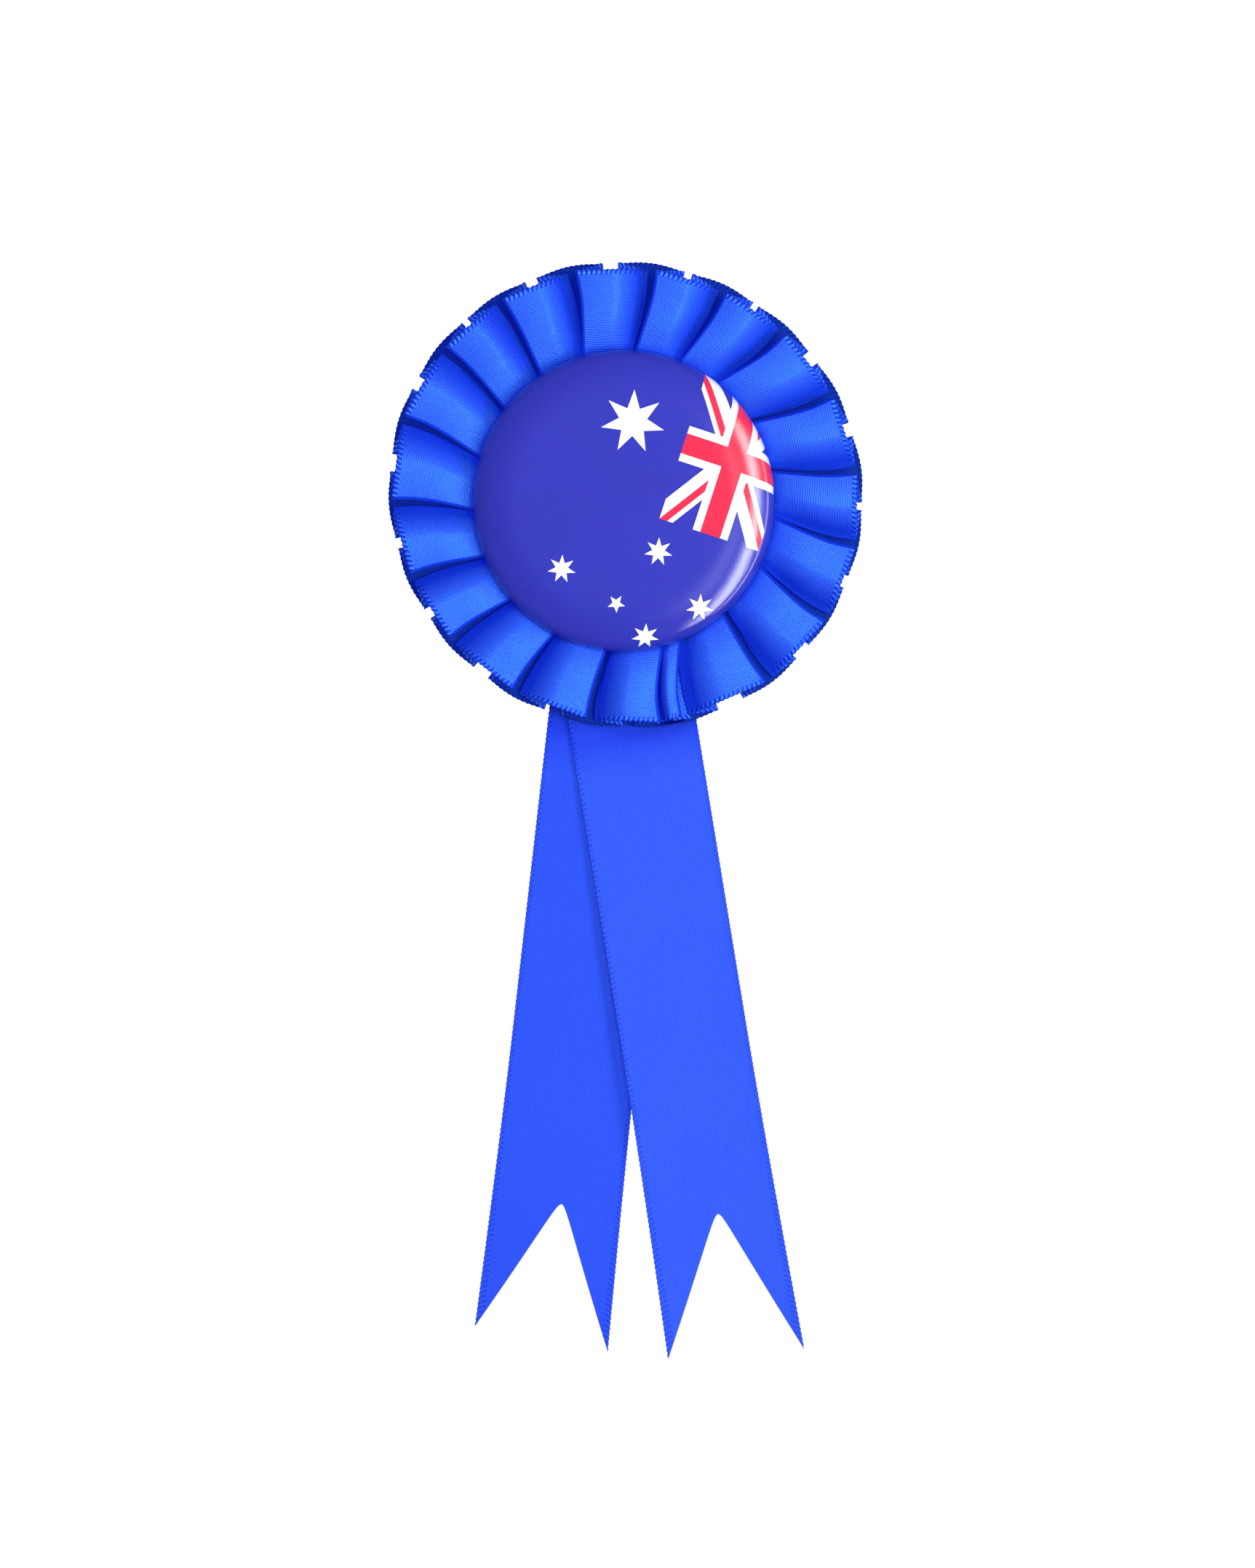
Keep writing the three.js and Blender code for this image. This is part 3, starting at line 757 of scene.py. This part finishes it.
def make_pleated_ribbon(material):
    rng = random.Random(7)
    outer_wobble = [{k: rng.uniform(-v, v) for k, v in WOBBLE.items()} for _ in range(PLEATS + 2)]
    inner_wobble = [dict.fromkeys(WOBBLE, 0.0)] * (PLEATS + 2)
    outer = ribbon_section(OUTER_PLEAT, FRONT_RADIUS, REAR_RADIUS, outer_wobble)
    inner = ribbon_section(INNER_PLEAT, INNER_RADIUS, INNER_RADIUS, inner_wobble)
    far, near = np.array(outer.points), np.array(inner.points)
    share = np.array(outer.share)
    pleat = np.array(outer.pleat)

    rows = np.array(ROWS)
    grid = near[None] + (far - near)[None] * rows[:, None, None]
    radius = INNER_RADIUS + RIBBON_WIDTH * rows
    climb = between(radius, *CLIMB)
    climb = climb * climb * (3 - 2 * climb)
    grid[:, :, 1] = near[None, :, 1] + (far - near)[None, :, 1] * climb[:, None]

    # Each front panel keeps its height from its raised side to the middle, then falls away.
    panel = share >= 0
    across = np.where(panel, share, 0.0)
    fall = between(across, PANEL_DROP_FROM, 1) ** PANEL_DROP_POWER
    drop = np.array([section["high"] - section["low"] for section in (INNER_PLEAT, OUTER_PLEAT)])
    drop = drop[0] + (drop[1] - drop[0]) * climb
    rise = (across - fall)[None] * drop[:, None] * panel[None]
    free = between(rows, BADGE_COVERS, 1)
    own = draws(rng, *OWN_CROWN, PLEATS + 1)[pleat]
    own = own * np.where(pleat == PLEATS, JOIN_CROWN, 1.0)
    swell = PANEL_CROWN * np.sin(np.pi * across ** 0.9) * own
    rise += swell[None] * np.sin(0.5 * np.pi * free ** 0.7)[:, None] * panel[None]

    # Faint creases across each panel, from the pull of the folds.
    phase = draws(rng, 0, 6.28, PLEATS + 1)[pleat]
    crease = CREASE * np.sin(7 * across[None] + 9 * rows[:, None] + phase[None]) * panel[None]
    rise += crease * free[:, None]
    grid[:, :, 1] -= rise

    # The folds bend round as they near the badge, each by its own amount.
    bend = FOLD_CURVE * np.clip(FOLD_BEND_FROM - radius, 0, None) ** FOLD_BEND_POWER
    strength = draws(rng, *OWN_BEND, PLEATS + 2)
    strength = strength[pleat] + (strength[pleat + 1] - strength[pleat]) * across
    turn = np.radians(bend[:, None] * strength[None])
    x, z = grid[:, :, 0].copy(), grid[:, :, 2].copy()
    grid[:, :, 0] = x * np.cos(turn) - z * np.sin(turn)
    grid[:, :, 2] = z * np.cos(turn) + x * np.sin(turn)
    grid[:, :, 2] += RING_Z

    # The rear panels bend back towards their selvedge, except over the tails.
    behind = np.clip((OUTER_PLEAT["low"] - 0.5 + far[:, 1]) / 0.6, 0, 1)
    over_tails = np.clip(0.9 + far[:, 2] / REAR_RADIUS * 1.6, 0, 1)
    tilt = between(radius, REAR_TILT_FROM, REAR_RADIUS) ** 1.5
    grid[:, :, 1] += REAR_TILT * tilt[:, None] * (behind * over_tails)[None]

    # Length along the ribbon at its outer selvedge, and the selvedge's small loops.
    step = np.linalg.norm(np.diff(far, axis=0), axis=1)
    along = np.concatenate([[0.0], np.cumsum(step)])
    out = far / np.linalg.norm(far[:, [0, 2]], axis=1, keepdims=True)
    out[:, 1] = 0
    loops = PLEAT_PICOT * np.cos(2 * np.pi * along / PICOT_PITCH)
    for row, part in ((-1, 1.0), (-2, 0.5)):
        grid[row] += out * (loops * part)[:, None]
    cloth = np.stack([
        np.broadcast_to(along[None], grid.shape[:2]),
        np.broadcast_to(RIBBON_WIDTH * rows[:, None], grid.shape[:2]),
    ], axis=2)
    # Painted shade: darker over the falling end of each front panel, and darker still in the walls and
    # rear panels.
    painted_shade = PANEL_PAINTED_SHADE * np.clip((across - 0.5) / 0.4, 0, 1) ** 1.8
    wall_shade = np.where(-far[:, 1] < OUTER_PLEAT["rear"] + 1.0, 1.0, WALL_PAINTED_SHADE)
    painted_shade = np.where(panel, painted_shade, wall_shade)
    # Painted shadow along the badge's rim, where the pleats pass under it.
    under = BADGE_RIM_PAINTED_SHADOW * between(radius, 32.0, 29.0) ** 1.6
    front = np.maximum(painted_shade[None], under[:, None])
    # Painted shade for the back side: seen from behind, the rear panels are in the light and the front
    # ones are not, so the front panels and the walls are painted darker there.
    rear = np.where(panel, 0.5, np.where(wall_shade == 1.0, 0.0, 0.4))
    rear = np.broadcast_to(rear[None], front.shape)
    name = "pleated_satin_ribbon"
    mesh = cloth_mesh(name, grid, cloth, CLOTH, (rear, front))
    piece = add_piece(name, mesh, ["pleated_ribbon"], material, crisp=False)
    SATIN.objects.link(piece)


# ---- Tails ----

def tail_mesh(name, tail):
    hinge = [c / MM for c in HINGES[tail["joint"]]]
    tilt = radians(tail["tilt"])
    side = np.array(TAIL_COLUMNS)
    knee = tail["notch"] - 12
    upper = np.arange(-TAIL_TOP, knee, 0.25)
    lower = np.linspace(0, 1, 170)
    # The swallow-tail cut, with its apex rounded a little.
    apex = NOTCH_ACROSS / TAIL_HALF_TIP
    reach = np.where(side < apex, (apex - side) / (1 + apex), (side - apex) / (1 - apex))
    soft = 0.055
    reach = (np.sqrt(reach ** 2 + soft ** 2) - soft) / (sqrt(1 + soft ** 2) - soft)
    tips = np.where(side < apex, *tail["tips"])
    end = tail["notch"] + (tips - tail["notch"]) * reach
    down = np.concatenate([
        np.repeat(upper[:, None], len(side), 1),
        knee + lower[:, None] * (end[None] - knee),
    ])
    half = TAIL_HALF_TOP + (TAIL_HALF_TIP - TAIL_HALF_TOP) * between(down, 60, 120) ** 1.5
    across = side[None] * half
    loops = TAIL_PICOT * np.cos(2 * np.pi * down / PICOT_PITCH)
    edge = np.clip((np.abs(side) - 0.975) / 0.025, 0, 1) * np.sign(side)
    across = across + loops * edge[None]
    x = hinge[0] + across * cos(tilt) + down * sin(tilt)
    z = hinge[2] + across * sin(tilt) - down * cos(tilt)
    y = hinge[1] + tail_bend(tail, across, down)
    cloth = np.stack([down + TAIL_TOP, across + RIBBON_WIDTH / 2], axis=2)
    # Painted shadow of the ring across the top of each tail, on both its sides.
    shade = 0.3 * between(down, 9, 0) ** 1.5
    return cloth_mesh(name, np.stack([x, y, z], axis=2), cloth, CLOTH, (shade, shade))


def tail_bend(tail, across, down):
    """How far a tail lies behind its hinge: a slow wave, a cupped width, a lean and a curl."""
    free = between(down, 0, TAIL_WAVES_FROM)
    side = across / (RIBBON_WIDTH / 2)
    height, length, phase = tail["wave"]
    curl, start = tail["curl"]
    wave = height * np.sin(down / length + phase)
    end = between(down, start, start + TAIL_CURL_REACH) ** 2 * (0.4 + 0.6 * np.abs(side))
    return (wave + tail["cup"] * side ** 2 + tail["lean"]) * free + curl * end


def make_tail(name, tail, material):
    piece = link(name, tail_mesh(name, tail), material)
    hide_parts(*tail["nodes"])
    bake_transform(piece)


# ---- Badge ----

def badge_curve(inset, end):
    """Profile of a badge layer from the axis over the dome and round the rim."""
    meet = degrees(asin(DOME_REACH / DOME_RADIUS))
    reach = DOME_REACH + BEND_RADIUS * (sin(radians(BEND_SLOPE)) - sin(radians(meet)))
    rim = (BADGE_RADIUS - reach) / (1 - sin(radians(BEND_SLOPE)))
    radius, height = 0.0, BADGE_TOP
    points = [(0.0, height - inset)]
    slope = 0.0
    for bend, target, steps in ((DOME_RADIUS, meet, 24), (BEND_RADIUS, BEND_SLOPE, 20), (rim, end, 24)):
        for k in range(1, steps + 1):
            angle = radians(slope + (target - slope) * k / steps)
            before = radians(slope)
            r = radius + bend * (sin(angle) - sin(before))
            h = height - bend * (cos(before) - cos(angle))
            points.append((r - inset * sin(angle), h - inset * cos(angle)))
        radius, height, slope = r, h, target
    return points


def badge_layer(inset, thick, end):
    outside = badge_curve(inset, end)
    inside = badge_curve(inset + thick, end)[::-1]
    return outside + inside


def print_places(mesh):
    """Stores where each point lies on the flat printed disc: the paper is laid over the dome."""
    curve = badge_curve(0.0, 150)
    radii = np.array([p[0] for p in curve])
    step = np.hypot(np.diff(radii), np.diff([p[1] for p in curve]))
    flat = np.concatenate([[0.0], np.cumsum(step)])
    top = int(np.argmax(radii))
    co = np.array([v.co for v in mesh.vertices]) / MM
    dx, dz = co[:, 0] - BADGE_X, co[:, 2] - BADGE_Z
    radius = np.hypot(dx, dz)
    front = np.interp(radius, radii[:top + 1], flat[:top + 1])
    scale = np.where(radius > 1e-6, front / np.maximum(radius, 1e-6), 1.0)
    store_vectors(mesh, "print", np.stack([dx * scale, dz * scale, radius], 1))


# The printed flag, in millimetres on the flat paper. Its up side is turned clockwise.
FLAG_TURN = 108.1
CANTON_MIDDLE = (-13.9, 17.8)    # in the flag's own axes, from the badge's middle
CANTON_HALF = (15.2, 10.2)
CROSS_WHITE = 3.5                # half widths of the cross and of the diagonals
CROSS_RED = 2.0
SALTIRE_WHITE = 2.2
SALTIRE_RED = 1.3
STAR_TURN = 2.5
SEVEN_INNER = 4 / 9              # where a star's sides meet, as a share of its radius
FIVE_INNER = 0.42
# Each star's place from the canton's middle, its radius, its points and its inner share.
STARS = [
    ((-0.9, -20.8), 6.2, 7, SEVEN_INNER),
    ((30.2, -25.0), 2.75, 7, SEVEN_INNER),
    ((21.3, -8.4), 2.75, 7, SEVEN_INNER),
    ((29.1, 2.6), 2.75, 7, SEVEN_INNER),
    ((37.8, -5.6), 2.75, 7, SEVEN_INNER),
    ((33.3, -13.0), 1.75, 5, FIVE_INNER),
]


def star_mask(m, x, y, centre, radius, points, inner):
    """1 inside a star whose first point is up."""
    dx = m.sub(x, centre[0])
    dy = m.sub(y, centre[1])
    distance = m.math("SQRT", m.add(m.mul(dx, dx), m.mul(dy, dy)))
    angle = m.add(m.math("ARCTAN2", dx, dy), radians(STAR_TURN))
    sector = 2 * pi / points
    turned = m.math("FLOORED_MODULO", m.add(angle, sector / 2), sector)
    folded = m.math("ABSOLUTE", m.sub(turned, sector / 2))
    px = m.mul(distance, m.math("COSINE", folded))
    py = m.mul(distance, m.math("SINE", folded))
    vx = radius * inner * cos(sector / 2) - radius
    vy = radius * inner * sin(sector / 2)
    side = m.sub(m.mul(vx, py), m.mul(m.sub(px, radius), vy))
    return m.math("GREATER_THAN", side, 0.0)


def band_mask(m, value, low, high):
    return m.mul(m.math("GREATER_THAN", value, low), m.math("LESS_THAN", value, high))


def either(m, *masks):
    result = masks[0]
    for mask in masks[1:]:
        result = m.math("MAXIMUM", result, mask)
    return result


def flag_masks(m, px, pz):
    """White and red areas of the flag from a point's place on the printed disc."""
    turn = radians(FLAG_TURN)
    x = m.sub(m.mul(px, cos(turn)), m.mul(pz, sin(turn)))
    y = m.add(m.mul(px, sin(turn)), m.mul(pz, cos(turn)))
    x = m.sub(x, CANTON_MIDDLE[0])
    y = m.sub(y, CANTON_MIDDLE[1])
    stars = either(m, *[star_mask(m, x, y, *star) for star in STARS])

    # The canton: an upright cross over a diagonal one, each red edged with white.
    half_x, half_y = CANTON_HALF
    inside = m.mul(band_mask(m, x, -half_x, half_x), band_mask(m, y, -half_y, half_y))
    length = hypot(half_x, half_y)
    along, up = half_x / length, half_y / length
    rising = m.sub(m.mul(y, along), m.mul(x, up))
    falling = m.add(m.mul(y, along), m.mul(x, up))
    white_arms, red_arms = [], []
    for diagonal in (rising, falling):
        white_arms.append(band_mask(m, diagonal, -SALTIRE_WHITE, SALTIRE_WHITE))
        right = m.mul(m.math("GREATER_THAN", x, 0.0), band_mask(m, diagonal, 0.0, SALTIRE_RED))
        left = m.mul(m.math("LESS_THAN", x, 0.0), band_mask(m, diagonal, -SALTIRE_RED, 0.0))
        red_arms += [right, left]
    cross_white = either(m, *[band_mask(m, v, -CROSS_WHITE, CROSS_WHITE) for v in (x, y)])
    cross_red = either(m, *[band_mask(m, v, -CROSS_RED, CROSS_RED) for v in (x, y)])
    red_arms = m.mul(either(m, *red_arms), m.sub(1.0, cross_white))
    red = m.mul(inside, either(m, cross_red, red_arms))
    canton_white = m.mul(inside, either(m, cross_white, *white_arms))
    return either(m, stars, canton_white), red


def print_material():
    m = Nodes("badge_print")
    flat, px, pz, _ = m.attribute("print")
    white, red = flag_masks(m, px, pz)
    place = m.scaled(flat, (1.0, 1.0, 0.0))
    cloud = m.noise(place, 0.06, 2.0)
    field = m.mix(cloud, (0.0255, 0.03, 0.44, 1), (0.0305, 0.0355, 0.49, 1))
    colour = m.mix(white, field, (0.95, 0.96, 0.98, 1))
    colour = m.mix(red, colour, (0.87, 0.019, 0.076, 1))
    # The film has a faint orange-peel surface and a few specks of dust.
    peel = m.noise(place, 4.5, 2.0, 0.7)
    speck = m.ramp(m.noise(place, 2.6, 1.0), 0.78, 0.84)
    colour = m.mix(m.mul(speck, 0.35), colour, (0.75, 0.77, 0.9, 1))
    normal = m.bump(peel, 0.00002, 1.0)
    m.set(Base_Color=colour, Roughness=0.5, Specular_IOR_Level=0.2)
    return m.set(Coat_Weight=1.0, Coat_Roughness=0.06, Coat_Normal=normal)


def make_badge(steel):
    centre = (BADGE_X, BADGE_Z)
    mesh = turned_mesh("badge_face", badge_layer(0.0, 0.3, 118), 180, centre)
    print_places(mesh)
    nodes = ("badge_print", "badge_film")
    face = add_piece("badge_face", mesh, nodes, print_material(), crisp=False)
    GLAZED.objects.link(face)

    mesh = turned_mesh("badge_tin_shell", badge_layer(0.5, 0.4, 140), 120, centre)
    add_piece("badge_tin_shell", mesh, ["badge_shell"], steel, crisp=False)

    # The closing plate, whose edge is pressed into a shallow rim.
    profile = [
        (0, 1.6), (23.6, 1.6), (24.4, 1.2), (24.6, 0.6), (24.2, 0.35), (22.6, 0.35), (21.8, 0.9), (0, 0.9),
    ]
    profile = [(radius, BADGE_BOTTOM + height) for radius, height in profile]
    mesh = turned_mesh("badge_closing_plate", profile, 120, centre)
    add_piece("badge_closing_plate", mesh, ["badge_back_plate"], steel, crisp=False)


# ---- Cards, pads and glue ----

def disc_profile(radius, low, high, edge):
    upper = [(0, high), (radius - edge, high), (radius, high - edge)]
    return upper + [(radius, low + edge), (radius - edge, low), (0, low)]


def make_disc(name, node, material, edge, segments):
    low, high = -node_high(node).y, -node_low(node).y
    middle = centre_of(node)
    profile = disc_profile(size_of(node).x / 2, low, high, edge)
    mesh = turned_mesh(name, profile, segments, (middle.x, middle.z))
    return add_piece(name, mesh, [node], material)


CARD_EDGE = 0.15                 # rounding
FOAM_GAP = 0.04                  # foam stops this far short of what it sticks to
FOAM_EDGE = 0.1
STAPLE_WIRE = 0.25               # radius
STAPLE_CLINCH = 3.0
NEEDLE_WIRE = 0.38
NEEDLE_COIL = 1.15               # radius of the middle of the coil round the rivet
NEEDLE_TAPER = 5.0               # length of the point
NEEDLE_POINT = 0.12              # its radius, as a share of the wire's
COIL_TURN = 400                  # degrees
COIL_DROP = 0.42                 # the coil starts this far below the middle
COIL_RISE = 0.9
HINGE_AT = [c / MM for c in HINGES["pin_open"]]
PIN_Z = HINGE_AT[2]
PLATE_EDGE = 0.12
BAR_THICK = 0.8
TAB_EDGE = 0.1
HOLE_RADIUS = 1.1
HOLE_PLACES = (-8.0, 8.0)
EAR_THICK = 0.6
CATCH_RING = (1.6, 2.2, 80)      # inner and outer radius, half-angle of the slot
LOCK_RING = (0.75, 1.3, 50)
LOCK_TAB = {"reach": 3.2, "turn": 24, "thick": 0.5, "width": 1.9}
LEG_HOLE = 0.42
TAIL_SLOT = {"left": -17.2, "right": 15.2, "top": 9.6}   # where the tails run between the cards


def make_staple(name, node):
    low, high = ends(node)
    z = (low.z + high.z) / 2
    left, right = low.x + STAPLE_WIRE, high.x - STAPLE_WIRE
    crown, clinch = high.y - STAPLE_WIRE, low.y + STAPLE_WIRE
    corners = [
        (left + STAPLE_CLINCH - STAPLE_WIRE, clinch + 0.1, z), (left, clinch, z), (left, crown, z),
        (right, crown, z), (right, clinch, z), (right - STAPLE_CLINCH + STAPLE_WIRE, clinch + 0.1, z),
    ]
    mesh = wire_mesh(name, rounded_path(corners, 0.55), STAPLE_WIRE)
    add_steel(name, mesh, node)


def make_front_card():
    node = "front_card"
    middle, size = centre_of(node), size_of(node)
    outlines = [circle(0, 0, size.x / 2 - CARD_EDGE, 128)]
    for staple in ("upper_tail_staple", "lower_tail_staple"):
        low, high = ends(staple)
        for x in (low.x + STAPLE_WIRE, high.x - STAPLE_WIRE):
            outlines.append(circle(x - middle.x, (low.z + high.z) / 2 - middle.z, LEG_HOLE, 20))
    mesh = plate_mesh("front_card_board", outlines, size.y, CARD_EDGE, facing(middle))
    add_piece("front_card_board", mesh, [node], BOARD)


def make_card_adhesive():
    """Foam tape between the two cards, open below where the tails come through."""
    radius = size_of("card_adhesive").x / 2
    left, right = TAIL_SLOT["left"], TAIL_SLOT["right"]
    top = TAIL_SLOT["top"] - RING_Z
    start = degrees(atan2(-sqrt(radius ** 2 - right ** 2), right))
    end = degrees(atan2(-sqrt(radius ** 2 - left ** 2), left)) + 360
    steps = 90
    angles = [radians(start + (end - start) * k / steps) for k in range(steps + 1)]
    outline = [(radius * cos(a), radius * sin(a)) for a in angles]
    outline += [(left, top), (right, top)]
    rear, front = node_low("back_card").y, node_high("front_card").y
    turn = facing((0, (rear + front) / 2, RING_Z))
    mesh = plate_mesh("card_foam_tape", [outline], rear - front - FOAM_GAP, FOAM_EDGE, turn)
    add_piece("card_foam_tape", mesh, ["card_adhesive"], FOAM)


def make_badge_pad():
    make_disc("badge_foam_pad", "badge_pad", FOAM, 0.35, 96)


def make_pin_pad():
    size, middle = size_of("pin_pad"), centre_of("pin_pad")
    front = node_low("pin_bar").y
    place = (middle.x, front / 2, middle.z)
    outline = rounded_rect(size.x - 2 * FOAM_EDGE, size.z - 2 * FOAM_EDGE, 0.3)
    mesh = plate_mesh("pin_foam_pad", [outline], front - FOAM_GAP, FOAM_EDGE, facing(place))
    add_piece("pin_foam_pad", mesh, ["pin_pad"], FOAM)


def make_pin_bar():
    low, high = ends("pin_bar")
    width = high.z - low.z
    edge = 2 * PLATE_EDGE
    outlines = [rounded_rect(high.x - low.x - edge, width - edge, 1.3)]
    outlines += [circle(x, 0, HOLE_RADIUS + PLATE_EDGE) for x in HOLE_PLACES]
    middle = low.y + BAR_THICK / 2
    meshes = [plate_mesh("bar_strip", outlines, BAR_THICK, PLATE_EDGE, facing((0, middle, PIN_Z)))]
    top, foot = high.y - HINGE_AT[1] - PLATE_EDGE, middle - HINGE_AT[1]
    ear = [(top * cos(radians(a)), top * sin(radians(a))) for a in range(0, 181, 10)]
    ear += [(-top, foot), (top, foot)]
    for side in (-1, 1):
        place = (HINGE_AT[0], HINGE_AT[1], PIN_Z + side * (width / 2 - EAR_THICK / 2))
        turn = turned_to((1, 0, 0), (0, 1, 0), place)
        meshes.append(plate_mesh("bar_ear", [ear], EAR_THICK, PLATE_EDGE, turn))
    add_steel("brooch_bar", joined("brooch_bar", meshes), "pin_bar")


def make_pin_rivet():
    low, high = ends("pin_rivet")
    head = size_of("pin_rivet").x / 2
    shank, dome = 0.55, 0.5
    half = []
    for k in range(9):
        angle = radians(90 * k / 8)
        half.append((head * sin(angle), high.z - dome + dome * cos(angle)))
    upper = half + [(head * 0.9, high.z - dome), (shank, high.z - dome)]
    lower = [(r, low.z + high.z - h) for r, h in reversed(upper)]
    mesh = turned_mesh("brooch_rivet", upper + lower, 32, (HINGE_AT[0], HINGE_AT[1]), axis="Z")
    add_steel("brooch_rivet", mesh, "pin_rivet")


def make_pin_needle():
    tip = node_high("pin_needle").x
    x, y, z = HINGE_AT
    path, taper = [], []
    straight, coil = 60, 56      # steps
    for k in range(straight):
        t = k / straight
        here = tip + (x - tip) * t
        path.append((here, y + NEEDLE_COIL * t, z - COIL_DROP * t))
        taper.append(NEEDLE_POINT + (1 - NEEDLE_POINT) * min(1, (tip - here) / NEEDLE_TAPER) ** 0.7)
    for k in range(coil + 1):
        t = k / coil
        angle = radians(90 + COIL_TURN * t)
        across, up = NEEDLE_COIL * cos(angle), NEEDLE_COIL * sin(angle)
        path.append((x + across, y + up, z - COIL_DROP + COIL_RISE * t))
        taper.append(1.0)
    mesh = wire_mesh("brooch_needle", path, NEEDLE_WIRE, taper=taper)
    add_steel("brooch_needle", mesh, "pin_needle", "needle")


def barrel_mesh(name, ring, low_x, high_x):
    inner, outer, slot = ring
    edge = 0.08
    place = ((low_x + high_x) / 2, HINGE_AT[1], PIN_Z)
    outline = open_ring(inner + edge, outer - edge, slot + 2)
    return plate_mesh(name, [outline], high_x - low_x, edge, turned_to((0, 0, -1), (0, 1, 0), place))


def make_pin_catch():
    low, high = ends("pin_catch")
    barrel = barrel_mesh("catch_barrel", CATCH_RING, low.x, high.x)
    # A small foot under the barrel, brazed to the bar.
    bar_top = node_low("pin_bar").y + BAR_THICK
    foot_high = low.y + 0.5
    turn = facing(((low.x + high.x) / 2, (bar_top + foot_high) / 2, PIN_Z))
    outline = rounded_rect(high.x - low.x - 0.5, 1.5, 0.3)
    foot = plate_mesh("catch_foot", [outline], foot_high - bar_top, TAB_EDGE, turn)
    add_steel("brooch_catch", joined("brooch_catch", [barrel, foot]), "pin_catch")


def make_pin_lock():
    low, high = ends("pin_lock")
    barrel = barrel_mesh("lock_barrel", LOCK_RING, low.x, high.x)
    turn = radians(LOCK_TAB["turn"])
    out = (0, sin(turn), -cos(turn))
    inner = (LOCK_RING[0] + LOCK_RING[1]) / 2
    reach = LOCK_TAB["reach"] - inner
    middle = inner + reach / 2
    place = ((low.x + high.x) / 2, HINGE_AT[1] + middle * out[1], PIN_Z + middle * out[2])
    outline = rounded_rect(LOCK_TAB["width"] - 2 * TAB_EDGE, reach - 2 * TAB_EDGE, 0.45)
    tab = plate_mesh("lock_tab", [outline], LOCK_TAB["thick"], TAB_EDGE, turned_to((1, 0, 0), out, place))
    add_steel("brooch_lock", joined("brooch_lock", [barrel, tab]), "pin_lock", "lock")


def paint_node(node, material):
    for slot in frame["nodes"][node].material_slots:
        slot.link = "OBJECT"
        slot.material = material


# The pieces that mirror the windows.
GLAZED = bpy.data.collections.new("glazed")
SATIN = bpy.data.collections.new("satin")
make_camera()
make_stage()
# The left tail lies behind the right one, so its satin is a darker copy of the tail satin: painted shade.
SATIN_FRONT = satin_material("satin_front", (0.055, 0.18, 1.0), (0.005, 0.028, 0.9))
SATIN_TAIL = satin_material("satin_front_tail", (0.056, 0.135, 0.98), (0.028, 0.074, 0.88), 0.5, 0.35)
SATIN_REAR_SHADED = satin_material("satin_rear", (0.044, 0.112, 0.98), (0.022, 0.061, 0.86), 0.5, 0.35)
TIN = steel_material("tinplate", (0.62, 0.63, 0.65), 0.28, 0.12)
NICKEL = steel_material("nickel", (0.74, 0.75, 0.77), 0.18, 0.1)
BOARD = board_material()
FOAM = foam_material()
GLUE = glue_material()

make_pleated_ribbon(SATIN_FRONT)
make_tail("left_satin_tail", LEFT_TAIL, SATIN_REAR_SHADED)
make_tail("right_satin_tail", RIGHT_TAIL, SATIN_TAIL)
make_badge(TIN)
make_disc("back_card_board", "back_card", BOARD, CARD_EDGE, 128)
make_front_card()
make_badge_pad()
make_staple("upper_staple", "upper_tail_staple")
make_staple("lower_staple", "lower_tail_staple")
make_pin_pad()
make_pin_bar()
make_pin_rivet()
make_pin_needle()
make_pin_catch()
make_pin_lock()
make_card_adhesive()
paint_node("pleat_glue_ring", GLUE)
